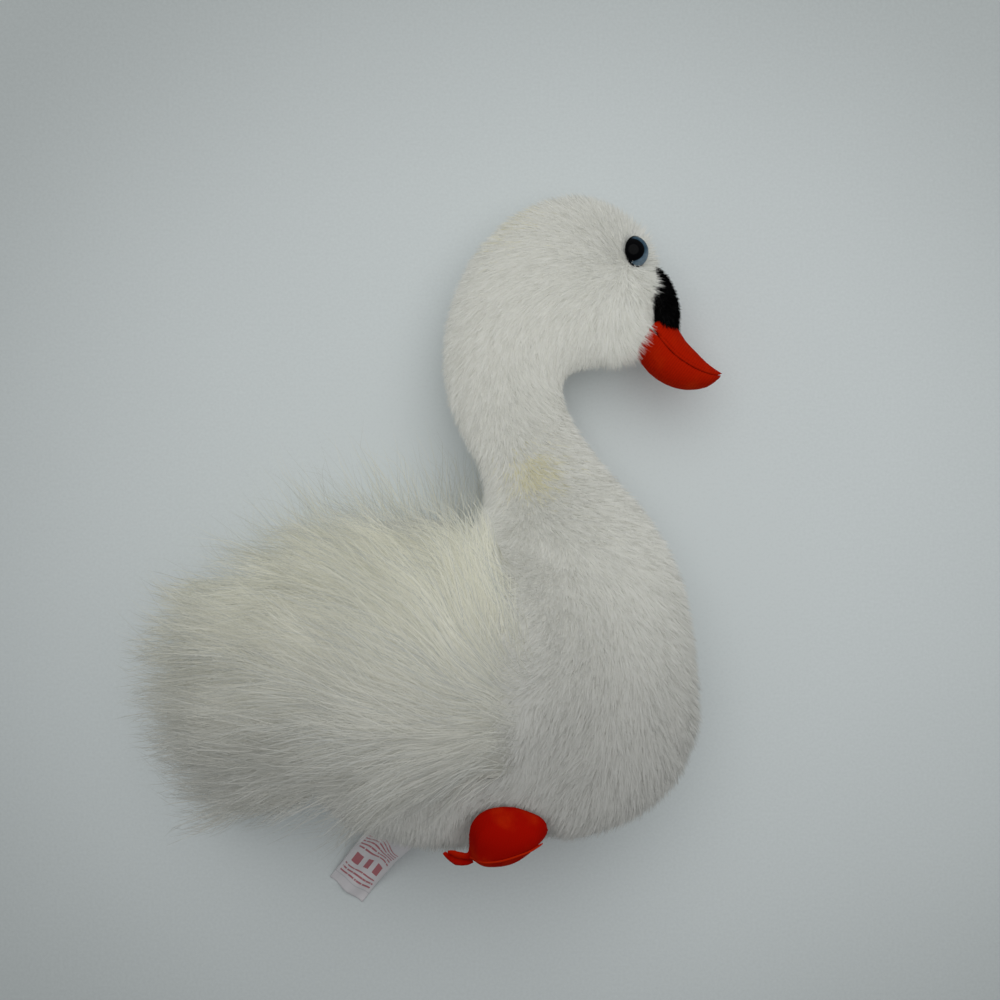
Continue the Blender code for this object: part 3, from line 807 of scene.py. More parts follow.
def give(mesh, name, values):
    """A value for each vertex, as an attribute that the pile tree reads."""
    kind = "FLOAT" if values.ndim == 1 else "FLOAT_VECTOR"
    field = "value" if values.ndim == 1 else "vector"
    data = mesh.attributes.new(name, kind, "POINT").data
    data.foreach_set(field, values.astype(np.float32).ravel())


# %% [markdown]
# White plush is never one white. The strands come in four shades: a bright one, a plain one, a
# deeper one that reads as the shade between fibres, and a yellowed one for the age stains at the
# back of the neck. Each strand takes one shade for its whole length, so the strands need no
# pattern of their own; the white and the long shades are only painted darker towards the belly,
# as painted shade where less light falls. On the long pile the fourth shade is a grey one instead,
# painted shade for the gaps between the locks. The ground cloth under the pile is a knitted
# backing with a fine grain; under the long pile it is painted darker, as painted shade between the
# locks.

# %% Finishes for the plush


# Painted shade: the plush colour turns greyer towards the belly, standing in for the shade where
# less light falls.
BELLY_SHADE_COLOUR = (0.52, 0.52, 0.495)
BELLY_SHADE_BETWEEN = (-0.055, 0.075)


def pile_finish(name, colour, roughness=0.75, gloss=0.0, belly_shade=0.0):
    """Plush of one shade, which may be painted darker towards the belly, as painted shade."""
    finish = Finish(name, colour, Roughness=roughness, Specular_IOR_Level=gloss)
    if belly_shade:
        _, y, _ = finish.parts(finish.place())
        share = (1 - y.between(*BELLY_SHADE_BETWEEN)) * belly_shade
        finish.set("Base Color", finish.mix(share, colour, BELLY_SHADE_COLOUR))
    return finish.material


WHITE_PILE = {
    "Bright": pile_finish("white_pile_bright", (0.80, 0.80, 0.76), belly_shade=1.0),
    "Plain": pile_finish("white_pile_plain", (0.775, 0.775, 0.73), belly_shade=1.0),
    "Deep": pile_finish("white_pile_deep", (0.745, 0.745, 0.70), belly_shade=1.0),
    "Stain or shade": pile_finish("white_pile_stained", (0.79, 0.765, 0.60), belly_shade=1.0),
}
# Long pile. Its fourth shade is a grey one, painted shade for the gaps between locks, and its
# shades are painted darker towards the belly, as painted shade.
LONG_PILE = {
    "Bright": pile_finish("long_pile_bright", (0.82, 0.81, 0.70), 0.5, 0.2, 0.8),
    "Plain": pile_finish("long_pile_plain", (0.745, 0.74, 0.635), 0.55, belly_shade=0.8),
    "Deep": pile_finish("long_pile_deep", (0.645, 0.64, 0.545), 0.6, belly_shade=0.8),
    "Stain or shade": pile_finish("long_pile_grey", (0.575, 0.59, 0.55), 0.55, belly_shade=0.5),
}
BLACK_PILE = {
    "Bright": pile_finish("black_pile_bright", (0.006, 0.006, 0.0065), 0.9),
    "Plain": pile_finish("black_pile_plain", (0.003, 0.003, 0.003), 0.9),
    "Deep": pile_finish("black_pile_deep", (0.0015, 0.0015, 0.0015), 0.9),
    "Stain or shade": pile_finish("black_pile_dusty", (0.012, 0.012, 0.012), 0.9),
}


def backing_finish(name, light, dark):
    """Knitted backing cloth: rows of loops, with a soft cloud of colour over them."""
    finish = Finish(name, Roughness=0.9)
    place = finish.place()
    cloud = finish.noise(place, 60.0, 4.0)
    x, y, z = finish.parts(finish.scaled(place, 2 * math.pi / (1.1 * MM)))
    loops = (x.maths("SINE", x) + y.maths("SINE", y) + z.maths("SINE", z)) / 6 + 0.5
    finish.set("Base Color", finish.mix(cloud.between(0.3, 0.7) * 0.6 + loops * 0.3, light, dark))
    finish.bump(loops, 0.15 * MM, 0.6)
    return finish.material


WHITE_BACKING = backing_finish("white_backing", (0.72, 0.72, 0.68), (0.66, 0.66, 0.62))
# Painted shade: the backing under the long pile is painted darker than the pile, so it shows as
# shade where the locks part.
LONG_BACKING = backing_finish("long_pile_backing", (0.58, 0.58, 0.53), (0.50, 0.50, 0.45))
BLACK_BACKING = backing_finish("black_backing", (0.006, 0.006, 0.006), (0.002, 0.002, 0.002))
print("plush finishes:", len(WHITE_PILE) + len(LONG_PILE) + len(BLACK_PILE) + 3)

# %% [markdown]
# The short plush is combed back over the crown, forward and down over the cheek and down the neck
# and breast. It is short round the eye and the patch, and longest at the cheek, where its tufts
# hang over the base of the beak. Nothing grows under an eye, and hardly anything where a wing
# covers the body.

# %% Short pile on the body
SHORT_LENGTH = 6.5 * MM
FACE_LENGTH = 3.2 * MM
TUFTS = [
    ((58, 160), 16, 9.0, (0, 0)), ((70, 151), 7, 6.0, (0.7, -0.7)), ((73, 158), 5, 5.0, (1, -0.3)),
    ((73, 179), 5, 7.5, (0.8, -0.5)), ((78, 192), 8, 6.0, (1, 0.1)),
]
LIFT = math.radians(36)
EYE_CLEARING = 5.9 * MM
EYE_DROP = Vector((0, -2.0 * MM, 0))
FOOT_CLEARING = 16 * MM
FOOT_NAP = 0.22
FACE_NAP_REACH = 17 * MM
COVER_DEPTH = 9 * MM
COVERED_LOSS = 0.97
UNDERSIDE_HEIGHT = 30 * MM
UNDERSIDE_THICKNESS = 0.15
EYE_CLEARING_FADE = 1.5 * MM
STAINS = [((24, 92), 9, 0.85), ((16, 215), 12, 0.35), ((8, 205), 9, 0.3)]


def unit(vectors):
    return vectors / np.maximum(np.linalg.norm(vectors, axis=1, keepdims=True), 1e-9)


def tangents(comb, places, normals):
    """The comb's directions laid along the surface, hanging down where it turns under."""
    flat = np.zeros_like(places)
    flat[:, :2] = comb.at(places[:, :2])
    lain = flat - normals * (flat * normals).sum(1, keepdims=True)
    weak = 1 - np.clip(np.linalg.norm(lain, axis=1, keepdims=True), 0, 1)
    down = np.array([0.0, 0.0, -1.0])
    hung = down - normals * (normals @ down)[:, None]
    return unit(lain + hung * weak)


def near(places, spots, reach):
    """How near the places are to any of the spots, from 0 to 1, in plan."""
    out = np.zeros(len(places))
    for spot in spots:
        away = np.linalg.norm(places[:, :2] - np.array(spot), axis=1)
        out = np.maximum(out, np.exp(-(away / reach) ** 2))
    return out


def covered(tree, places, normals, depth):
    """1 where something lies over the cloth within that depth."""
    return np.array([
        1.0 if tree.ray_cast(Vector(place), Vector(normal), depth)[0] else 0.0
        for place, normal in zip(places, normals)])


def distances(tree, places):
    return np.array([tree.find_nearest(Vector(place))[3] for place in places])


def short_nap(obj, comb, over):
    mesh = obj.data
    places, normals = surface(mesh)
    ways = tangents(comb, places, normals)
    face = np.exp(-(np.linalg.norm(places[:, :2] - np.array(FACE_MIDDLE), axis=1)
                    / FACE_NAP_REACH) ** 4)
    length = SHORT_LENGTH * (1 - face) + FACE_LENGTH * face
    for (x, y), size, longest, way in TUFTS:
        share = near(places, [(x * MM, y * MM)], size * MM)
        length = np.maximum(length, longest * MM * share)
        ways = unit(ways + 3 * share[:, None] * np.array((*way, 0.0)))
    feet = distances(tree_of(NODES["right_foot"], NODES["left_foot"]), places)
    length *= np.clip(FOOT_NAP + feet / FOOT_CLEARING, FOOT_NAP, 1)
    tip = length[:, None] * (ways * math.cos(LIFT) + normals * math.sin(LIFT))
    mid = length[:, None] * (ways * 0.30 * math.cos(LIFT) + normals * 0.75 * math.sin(LIFT))
    give(mesh, "tip", tip)
    give(mesh, "mid", mid)
    thick = 1 - COVERED_LOSS * covered(over, places, normals, COVER_DEPTH)
    underside = (normals[:, 2] < -0.4) & (places[:, 2] < UNDERSIDE_HEIGHT)
    thick *= np.where(underside, UNDERSIDE_THICKNESS, 1.0)
    for side in ("right_eye", "left_eye"):
        away = np.linalg.norm(places - np.array(node_middle(side) + EYE_DROP), axis=1)
        thick *= np.clip((away - EYE_CLEARING) / EYE_CLEARING_FADE, 0, 1)
    give(mesh, "thick", thick)
    stain_or_shade = np.zeros(len(places))
    for (x, y), reach, share in STAINS:
        stain_or_shade = np.maximum(stain_or_shade, share * near(places, [(x * MM, y * MM)], reach * MM))
    give(mesh, "stain_or_shade", stain_or_shade)


MAT_VOXEL = 2.6 * MM
MAT_SMOOTHING = 14
MAT_SINK = 1.5 * MM
MAT_LEAST_HEIGHT = 1 * MM


def drawn_back(obj, pivot, share, start, ceiling):
    """Shortens a mat towards its root, so that its pile and not its edge makes the outline."""
    places = as_array(obj.data.vertices, "co", 3)
    pivot = np.array(pivot) * MM
    away = places[:, :2] - pivot
    far = np.linalg.norm(away, axis=1)
    beyond = np.clip(1 - start / np.maximum(far, 1e-9), 0, 1)[:, None]
    places[:, :2] = pivot + away * (1 - beyond * (1 - np.array(share)))
    for i, (x, y, z) in enumerate(places):
        top = top_of(ceiling, x, y)
        if top is not None:
            places[i, 2] = min(z, top - MAT_SINK)
    places[:, 2] = np.maximum(places[:, 2], MAT_LEAST_HEIGHT)
    move_to(obj.data, places)


def mat(name, node, inset, pivot, share, start):
    obj = ground_cloth(name, NODES[node].copy(), inset, MAT_VOXEL, MAT_SMOOTHING)
    drawn_back(obj, pivot, share, start * MM, tree_of(NODES[node]))
    return dressed(obj, LONG_BACKING)


def sunk(obj, depth):
    """Sinks the front of the near wing's mat below the skin of the shoulder."""
    places = as_array(obj.data.vertices, "co", 3)
    places[:, 2] -= (depth * (1 - behind_shoulder(places))).astype(np.float32)
    move_to(obj.data, places)


def only_where(obj, keep):
    """Lets the pile grow only as far as keep, from 0 to 1, says."""
    data = obj.data.attributes["thick"].data
    places = as_array(obj.data.vertices, "co", 3)
    data.foreach_set("value", as_array(data, "value", 1) * keep(places).astype(np.float32))


def unparted(places):
    """Thin where the wing's pile parts and shows the shade between its locks."""
    out = np.ones(len(places))
    for x, y, reach in PARTINGS:
        out -= 0.75 * near(places, [(x * MM, y * MM)], reach * MM)
    return np.clip(out, 0.22, 1)


def part_of(obj, name, keep):
    """A copy of the cloth whose pile grows only where keep is true."""
    mesh = obj.data.copy()
    mesh.name = name
    places = as_array(mesh.vertices, "co", 3)
    thick = as_array(mesh.attributes["thick"].data, "value", 1)
    mesh.attributes["thick"].data.foreach_set("value", thick * keep(places))
    return new_object(name, mesh)


NEAR_WING_STROKES = [
    [(9, -3), (9, 20), (7, 42), (3, 62), (-4, 78)],
    [(14, 52), (6, 62), (-14, 70), (-45, 72), (-90, 68)],
    [(7, 0), (2, 18), (-6, 34), (-20, 50), (-44, 61), (-70, 65), (-100, 64)],
    [(1, 0), (-10, 12), (-22, 28), (-44, 44), (-72, 52), (-112, 54)],
    [(-16, 0), (-34, 18), (-50, 32), (-72, 38), (-120, 40)],
    [(-30, -4), (-52, 4), (-80, 14), (-120, 24)],
    [(-45, -6), (-75, 2), (-104, 8), (-128, 12)],
    [(9, -8), (-16, -6), (-46, -7), (-75, -5), (-125, -8)],
    [(4, -14), (-30, -24), (-62, -31), (-118, -36)],
    [(-4, -20), (-34, -40), (-66, -58), (-118, -84)],
    [(58, 34), (40, 30), (24, 34), (12, 46)],
    [(60, 14), (42, 9), (25, 7), (9, 10)],
    [(58, -8), (40, -12), (24, -12), (8, -10)],
    [(44, -26), (26, -26), (6, -26), (-20, -34)],
]
PARTINGS = [(-62, 60, 5), (-48, 60, 5), (-104, 34, 6), (-94, 31, 6), (-84, 28, 6),
            (-26, 55, 6), (-92, 1, 6), (-80, -2, 6), (-62, -36, 7), (-30, -22, 6)]
SHORT_PILE_VALUES = dict(
    Segments=1, Width=0.90 * MM, Flatness=0.2, Length_spread=0.3, Stray=0.25,
    Lock_size=3.0 * MM, Lock_pull=0.25, Wave_size=9 * MM, Wave=1.4 * MM, Softness=1.0,
    **WHITE_PILE)
HEAD_FROM = 112 * MM

near_mat = mat("near_wing_mat", "right_wing", 2.5 * MM, (15, 5), (0.84, 0.62), 40)
sunk(near_mat, 6.5 * MM)
far_mat = mat("far_wing_mat", "left_wing", 3 * MM, (0, 10), (0.62, 0.46), 40)
tail_mat = mat("tail_mat", "tail", 3 * MM, (-60, 0), 0.80, 20)
short_nap(body_skin, plush_comb, tree_of(near_mat.data, far_mat.data, tail_mat.data))
head_cloth = part_of(body_skin, "head_cloth", lambda at: at[:, 1] >= HEAD_FROM)
trunk_cloth = part_of(body_skin, "trunk_cloth", lambda at: at[:, 1] < HEAD_FROM)
plush_piles = []
for part, cloth, density, seeds in (("head", head_cloth, 1.70e6, (11, 12)),
                                    ("trunk", trunk_cloth, 0.76e6, (13, 14, 15))):
    plush_piles += [
        grown(part + "_pile_" + str(n + 1), cloth, Strands_per_square_metre=density, Seed=seed,
              **SHORT_PILE_VALUES) for n, seed in enumerate(seeds)]
near_comb = Comb(NEAR_WING_STROKES, 7 * MM)
for cloth in (head_cloth, trunk_cloth):
    bpy.data.objects.remove(cloth)
dressed(body_skin, WHITE_BACKING)

for piece in plush_piles:
    piece.visible_shadow = False
for piece in (body_skin, *plush_piles):
    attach(piece, "root")
    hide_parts("body_plush")

# %% [markdown]
# The wings and the rump carry a long glossy pile. On the near wing it springs from the shoulder
# and opens like a fan, from straight up to down and back. Each long strand is laid out before it
# is grown: from its root it walks along the comb's field in plan, and at every step it takes the
# height of what lies below it, so that it drapes over the toy and then sinks to the table.

# %% Long pile
FAR_WING_STROKES = [
    [(0, 40), (-5, 89), (-12, 118)],
    [(-29, 50), (-53, 94), (-77, 128)],
    [(-67, 40), (-105, 80), (-134, 104)],
    [(-86, 15), (-134, 42), (-177, 51)],
    [(-86, -6), (-134, -1), (-181, 2)],
    [(-80, -34), (-134, -44), (-181, -58)],
    [(-60, -50), (-100, -75), (-130, -95)],
]
TAIL_STROKES = [
    [(-70, 40), (-110, 45), (-160, 48)],
    [(-60, 10), (-110, 8), (-160, 2)],
    [(-37, -30), (-82, -39), (-137, -43)],
    [(-28, -43), (-64, -62), (-119, -80)],
    [(-40, -60), (-80, -85), (-110, -110)],
]
WALK_STEPS = 6
DROP_PER_STEP = 0.8
PILE_RISE = 1.5 * MM


def wander(xy, size):
    """A smooth random value from -1 to 1 for each place in plan."""
    u, v = xy[:, 0] / size, xy[:, 1] / size
    return np.sin(1.9 * u + 0.7 * v + 0.4) * np.sin(1.3 * v - 1.1 * u + 2.0) * 0.65 + (
        np.sin(3.7 * u - 2.3 * v) * np.sin(2.9 * v + 3.1 * u + 1.0) * 0.35)


def long_nap(obj, comb, length, under, turn=0.0, size=16 * MM, grey=0.12, least=0.02):
    """Gives each point of the mat the middle and the tip of the strand that grows there."""
    mesh = obj.data
    places, normals = surface(mesh)
    reach = length(places)
    step = reach / WALK_STEPS
    at = places.copy()
    stops = []
    for _ in range(WALK_STEPS):
        at = at.copy()
        way = comb.at(at[:, :2])
        angle = turn * wander(places[:, :2] + at[:, :2] * 0.3, size)
        across = np.stack([-way[:, 1], way[:, 0]], 1)
        way = way * np.cos(angle)[:, None] + across * np.sin(angle)[:, None]
        at[:, :2] += way * step[:, None]
        for i, (x, y, z) in enumerate(at):
            fallen = max(z - DROP_PER_STEP * step[i], LEAST_HEIGHT)
            below = top_of(under, x, y)
            at[i, 2] = fallen if below is None else max(below + PILE_RISE, fallen)
        stops.append(at)
    tip = stops[-1] - places
    half = stops[WALK_STEPS // 2 - 1] - places
    give(mesh, "tip", tip)
    give(mesh, "mid", 2 * half - 0.5 * tip)
    thick = np.clip((normals[:, 2] + 0.25) / 0.5, least, 1)
    give(mesh, "thick", thick)
    # Painted shade: a grey share, cloudy over the mat, picks the grey strands that stand in for
    # shade between the locks.
    give(mesh, "stain_or_shade", grey + 0.5 * np.clip(wander(places[:, :2], 11 * MM), 0, 1))


def even_reach(length):
    return lambda places: np.full(len(places), length)


def wing_reach(places):
    """Short on the shoulder of the wing, and long behind it."""
    return 12 * MM + 32 * MM * behind_shoulder(places)


def guard_reach(places):
    return 1.12 * wing_reach(places)


# Painted light and shade: on the long pile the bright, plain and deep strands are picked lock by
# lock, so whole locks are painted lighter or darker.
LONG_PILE_VALUES = dict(
    Segments=3, Flatness=0.15, Length_spread=0.38, Lock_size=11 * MM, Lock_pull=0.5,
    Lock_shade=0.65, Wave_size=24 * MM, Softness=0.98, **LONG_PILE)

GUARD_VALUES = {**LONG_PILE_VALUES, "Lock_size": 15 * MM, "Lock_pull": 0.8, "Lock_shade": 0.85,
                "Length_spread": 0.2}

everything = tree_of(*NODES.values())
wisp_cloth = new_object("wisp_cloth", near_mat.data.copy())
long_nap(near_mat, near_comb, wing_reach, everything, 0.6, 17 * MM)
long_nap(wisp_cloth, near_comb, guard_reach, everything, 0.8, 22 * MM)
for cloth in (near_mat, wisp_cloth):
    only_where(cloth, behind_shoulder)
    only_where(cloth, unparted)
# The far wing takes more grey strands: painted shade for the wing that lies low, in the body's
# shadow.
long_nap(far_mat, Comb(FAR_WING_STROKES, 12 * MM), even_reach(34 * MM),
         tree_of(NODES["left_wing"]), 0.3, grey=0.5, least=0.3)
long_nap(tail_mat, Comb(TAIL_STROKES, 12 * MM), even_reach(24 * MM),
         tree_of(NODES["tail"], NODES["body_plush"]), 0.3, least=0.35)
near_pile = [
    grown("near_wing_pile_" + str(n), near_mat, Strands_per_square_metre=0.46e6, Seed=20 + n,
          Width=0.38 * MM, Stray=0.12, Wave=16 * MM, **LONG_PILE_VALUES) for n in (1, 2)]
near_pile.append(grown(
    "near_wing_wisps", wisp_cloth, Strands_per_square_metre=0.30e6, Seed=25,
    Width=0.40 * MM, Stray=0.13, Wave=20 * MM, **GUARD_VALUES))
bpy.data.objects.remove(wisp_cloth)
far_pile = grown("far_wing_pile", far_mat, Strands_per_square_metre=0.25e6, Seed=31,
                 Width=0.25 * MM, Stray=0.45, Wave=24 * MM, **LONG_PILE_VALUES)
tail_pile = grown("tail_pile", tail_mat, Strands_per_square_metre=0.42e6, Seed=41,
                  Width=0.42 * MM, Stray=0.28, Wave=12 * MM, **LONG_PILE_VALUES)
for node, ground, piles in (("right_wing", near_mat, near_pile),
                            ("left_wing", far_mat, [far_pile]),
                            ("tail", tail_mat, [tail_pile])):
    for piece in piles:
        piece.visible_shadow = False
    for piece in [ground, *piles]:
        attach(piece, "root")
        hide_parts(node)
print("long pile is on")

# %% [markdown]
# The beak is two panels of ribbed felt, stuffed, and sewn together along each side. Each panel is
# the frame's own solid, evened out so that its edges round over into the seam. The ribs run across
# the beak, a little over a millimetre apart, and show as a fine relief and as fine dark lines,
# which are painted shade in the grooves between the ribs.

# %% Felt for the beak and the feet
FELT_COLOUR = (0.46, 0.0125, 0.0010)
FELT_DARK = (0.33, 0.0060, 0.0005)
FELT_WORN = (0.60, 0.040, 0.0035)
RIB_PITCH = 1.15 * MM


def felt(name, turn, ribs, colour=FELT_COLOUR):
    """Ribbed felt. The ribs lie across the direction that turn gives, in the plan."""
    finish = Finish(name, Roughness=0.9, Specular_IOR_Level=0.02)
    place = finish.place()
    x, _, _ = finish.parts(finish.mapped(place, rotation=(0, 0, math.radians(turn))))
    wobble = finish.noise(place, 120.0, 2.0) * 0.8
    wale = x * (2 * math.pi / RIB_PITCH) + wobble
    wale = wale.maths("SINE", wale) * 0.5 + 0.5
    fibre = finish.noise(place, 1400.0, 3.0)
    cloud = finish.noise(place, 75.0, 3.0)
    # Painted shade: the grooves between the ribs are painted darker.
    shade = finish.mix(wale * ribs, colour, FELT_DARK)
    shade = finish.mix(cloud.between(0.45, 0.8) * 0.45, shade, FELT_WORN)
    shade = finish.mix(fibre.between(0.55, 0.75) * 0.25, shade, FELT_DARK)
    finish.set("Base Color", shade)
    finish.bump(fibre * 0.5 - wale * ribs, 0.16 * MM, 0.8)
    return finish.material


BEAK_FELT = felt("beak_felt", -38, 0.5)
FOOT_FELT = felt("foot_felt", -17, 0.3, (0.37, 0.0032, 0.0006))
THREAD = Finish("orange_thread", (0.44, 0.016, 0.0015), Roughness=0.9,
                Specular_IOR_Level=0.02).material


def felt_piece(name, node, voxel, inset, smooth, material):
    return dressed(ground_cloth(name, NODES[node].copy(), inset, voxel, smooth), material)


beak_panels = [
    felt_piece(node + "_panel", node, 0.8 * MM, 0.15 * MM, 5, BEAK_FELT)
    for node in ("beak_upper", "beak_lower")]
print("beak panel faces:", [len(panel.data.polygons) for panel in beak_panels])

# %% [markdown]
# A welt stands up along the seam, held by small stitches. Its line is found, not drawn: on each of
# a few cuts across the beak, the seam is where the top of the upper panel gives way to the top of
# the lower one. The same line is mirrored for the side that faces the table. One geometry node
# tree then strings short thread stitches along any line.

# %% Lines and stitches
BEAK_CUTS = [
    ((86, 158), (70, 148)), ((90, 155), (74, 143)), ((95, 151), (79, 137)), ((99, 147), (86, 133)),
    ((103, 144), (92, 131)), ((107, 142), (99, 131)), ((110, 140.5), (105, 133)),
    ((111.4, 139.6), (107.6, 134.2)),
]


def seam_line(upper, lower, cuts):
    """The line on the upper side where one solid's top gives way to the other's."""
    line = []
    for a, b in cuts:
        a, b = Vector(a) * MM, Vector(b) * MM
        for _ in range(16):
            middle = (a + b) / 2
            over = top_of(upper, *middle, default=-1.0) > top_of(lower, *middle, default=-1.0)
            a, b = (middle, b) if over else (a, middle)
        top = max(top_of(tree, *a, default=0.0) for tree in (upper, lower))
        line.append((a.x, a.y, top))
    return np.array(line)


def mirrored(line, middle):
    """The same line on the side that faces the table."""
    return np.column_stack([line[:, :2], 2 * middle - line[:, 2]])


def tube(name, line, radius, material, flat=0.6, sides=8):
    """A closed tube along a line, tapered at both ends."""
    points = resampled(np.asarray(line, float), radius)
    steps = unit(np.gradient(points, axis=0))
    bm = bmesh.new()
    rings = []
    for i, (point, step) in enumerate(zip(points, steps)):
        end = min(i, len(points) - 1 - i) / 3
        size = radius * min(1.0, 0.35 + 0.65 * end)
        across = Vector(step).cross(Vector((0, 0, 1))).normalized()
        up = across.cross(Vector(step)).normalized()
        turns = [2 * math.pi * k / sides for k in range(sides)]
        rings.append([bm.verts.new(Vector(point) + across * size * math.cos(a)
                                   + up * size * flat * math.sin(a)) for a in turns])
    for first, second in zip(rings, rings[1:]):
        for k in range(sides):
            bm.faces.new((first[k], first[(k + 1) % sides], second[(k + 1) % sides], second[k]))
    bm.faces.new(rings[0])
    bm.faces.new(rings[-1])
    bmesh.ops.recalc_face_normals(bm, faces=bm.faces)
    mesh = mesh_from(bm, name)
    mesh.materials.append(material)
    mesh.shade_smooth()
    return new_object(name, mesh)


STITCH_INPUTS = {
    "Line": "Geometry", "Pitch": "Float", "Length": "Float", "Thickness": "Float",
    "Slant": "Float", "Seed": "Int", "Thread": "Material",
}


def stitch_tree():
    g = Growth("stitches", STITCH_INPUTS)
    line = g.node("GeometryNodeMeshToCurve", None, {"Mesh": g.value("Line")})
    dots = g.node("GeometryNodeCurveToPoints", {"mode": "LENGTH"},
                  {"Curve": line, "Length": g.value("Pitch")})
    tangent = Wire(g, dots.socket.node.outputs["Tangent"])
    turn = g.node("FunctionNodeAxesToRotation",
                  {"primary_axis": "X", "secondary_axis": "Z"},
                  {"Primary Axis": tangent, "Secondary Axis": g.read("out")})
    yaw = g.node("FunctionNodeEulerToRotation", None, {
        "Euler": g.together(0.0, 0.0, g.value("Slant") + g.chance(1, -0.25, 0.25))})
    turn = g.node("FunctionNodeRotateRotation", {"rotation_space": "LOCAL"},
                  {"Rotation": turn, "Rotate By": yaw})
    thread = g.node("GeometryNodeMeshIcoSphere", None, {"Radius": 0.5, "Subdivisions": 2})
    size = g.together(g.value("Length") * g.chance(2, 0.8, 1.15), g.value("Thickness"),
                      g.value("Thickness"))
    made = g.node("GeometryNodeInstanceOnPoints", None,
                  {"Points": dots, "Instance": thread, "Rotation": turn, "Scale": size})
    made = g.node("GeometryNodeRealizeInstances", None, {"Geometry": made})
    made = g.node("GeometryNodeSetShadeSmooth", None, {"Geometry": made})
    g.finish(g.without(g.painted(made, g.value("Thread")), "out"))
    return g


STITCHES = stitch_tree()


def line_mesh(name, line, outs):
    mesh = bpy.data.meshes.new(name)
    edges = [(i, i + 1) for i in range(len(line) - 1)]
    mesh.from_pydata([tuple(point) for point in line], edges, [])
    give(mesh, "out", np.asarray(outs, float))
    return mesh


def stitched(name, line, outs, **values):
    return run_through(new_object(name, line_mesh(name, line, outs)), STITCHES, values)


upper_tree, lower_tree = (tree_of(NODES[name]) for name in ("beak_upper", "beak_lower"))
head_middle = node_middle("face_patch").z
near_seam_line = seam_line(upper_tree, lower_tree, BEAK_CUTS)
far_seam_line = mirrored(near_seam_line, head_middle)
welts = [tube("beak_welt_right", near_seam_line, 0.75 * MM, BEAK_FELT),
         tube("beak_welt_left", far_seam_line, 0.75 * MM, BEAK_FELT)]
up_way, down_way = (0, 0, 1), (0, 0, -1)
for side, line, way in (("right", near_seam_line, up_way), ("left", far_seam_line, down_way)):
    raised = resampled(line + np.array(way) * 0.35 * MM, 1 * MM)
    welts.append(stitched("beak_stitches_" + side, raised, [way] * len(raised), Pitch=1.7 * MM,
                          Length=1.5 * MM, Thickness=0.35 * MM, Slant=1.2, Seed=51,
                          Thread=THREAD))
for piece in (*beak_panels, *welts):
    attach(piece, "root")
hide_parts("beak_upper")
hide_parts("beak_lower")
print("seam points, mm:", (near_seam_line / MM).round(1).tolist())

# %% [markdown]
# The feet are small stuffed pads of the same felt, flatter and smoother. Each is the frame's own
# solid, evened out, with a thread along its seam and a rolled tab at the heel.

# %% The feet
FOOT_SEAM = [(-4.1, -71.5), (1.0, -71.8), (6.0, -71.4), (11.1, -70.2), (16.2, -68.5),
             (21.7, -66.5), (27.0, -64.2)]
HEEL_TAB = [(-14.8, -70.0), (-12.4, -72.3), (-9.0, -73.9), (-5.4, -74.6), (-2.5, -74.0)]
FOOT_SEAM_SIZE = 0.45 * MM
HEEL_TAB_SIZE = 2.1 * MM
FOOT_RISE = 0.15


def laid_on(tree, line, lift):
    """Heights for a line in plan, from what lies under it."""
    heights = [top_of(tree, x * MM, y * MM) for x, y in line]
    known = [height for height in heights if height is not None]
    return np.array([(x * MM, y * MM, (min(known) if height is None else height) + lift)
                     for (x, y), height in zip(line, heights)])


def drawn_up(obj, share):
    """Draws a pad up towards the belly, as far as the photo shows it."""
    places = as_array(obj.data.vertices, "co", 3)
    places[:, 1] += (places[:, 1] - places[:, 1].min()) * share
    move_to(obj.data, places)


middle = (node_middle("right_foot").z + node_middle("left_foot").z) / 2
foot_tree = tree_of(NODES["right_foot"])
near_seam = laid_on(foot_tree, FOOT_SEAM, -0.25 * MM)
near_tab = laid_on(foot_tree, HEEL_TAB, -1.0 * MM)
feet = []
for node, seam, tab in (("right_foot", near_seam, near_tab),
                        ("left_foot", mirrored(near_seam, middle), mirrored(near_tab, middle))):
    pieces = [felt_piece(node + "_pad", node, 0.9 * MM, 0.2 * MM, 5, FOOT_FELT),
              tube(node + "_seam", seam, FOOT_SEAM_SIZE, THREAD),
              tube(node + "_tab", tab, HEEL_TAB_SIZE, FOOT_FELT, flat=0.4)]
    drawn_up(pieces[0], FOOT_RISE)
    for piece in pieces:
        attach(piece, "root")
    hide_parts(node)
    feet.append(pieces[0])
print("foot faces:", [len(foot.data.polygons) for foot in feet])

# %% [markdown]
# The patch between the eyes and the beak is cut from black plush with a pile of only two
# millimetres, so fine that it reads as velvet.

# %% The face patch
PATCH_PILE = 2.2 * MM
PATCH_SHIFT = (-1.4 * MM, -0.8 * MM, 0.0)
PATCH_FOOT = 166 * MM
PATCH_CORNER = [(89.0, 159.0, 36.0), (91.2, 156.0, 35.2), (92.8, 153.6, 34.4),
                (93.8, 152.2, 33.6)]
PATCH_STROKES = [[(72, 188), (80, 176), (84, 160)], [(84, 190), (92, 176), (94, 160)]]

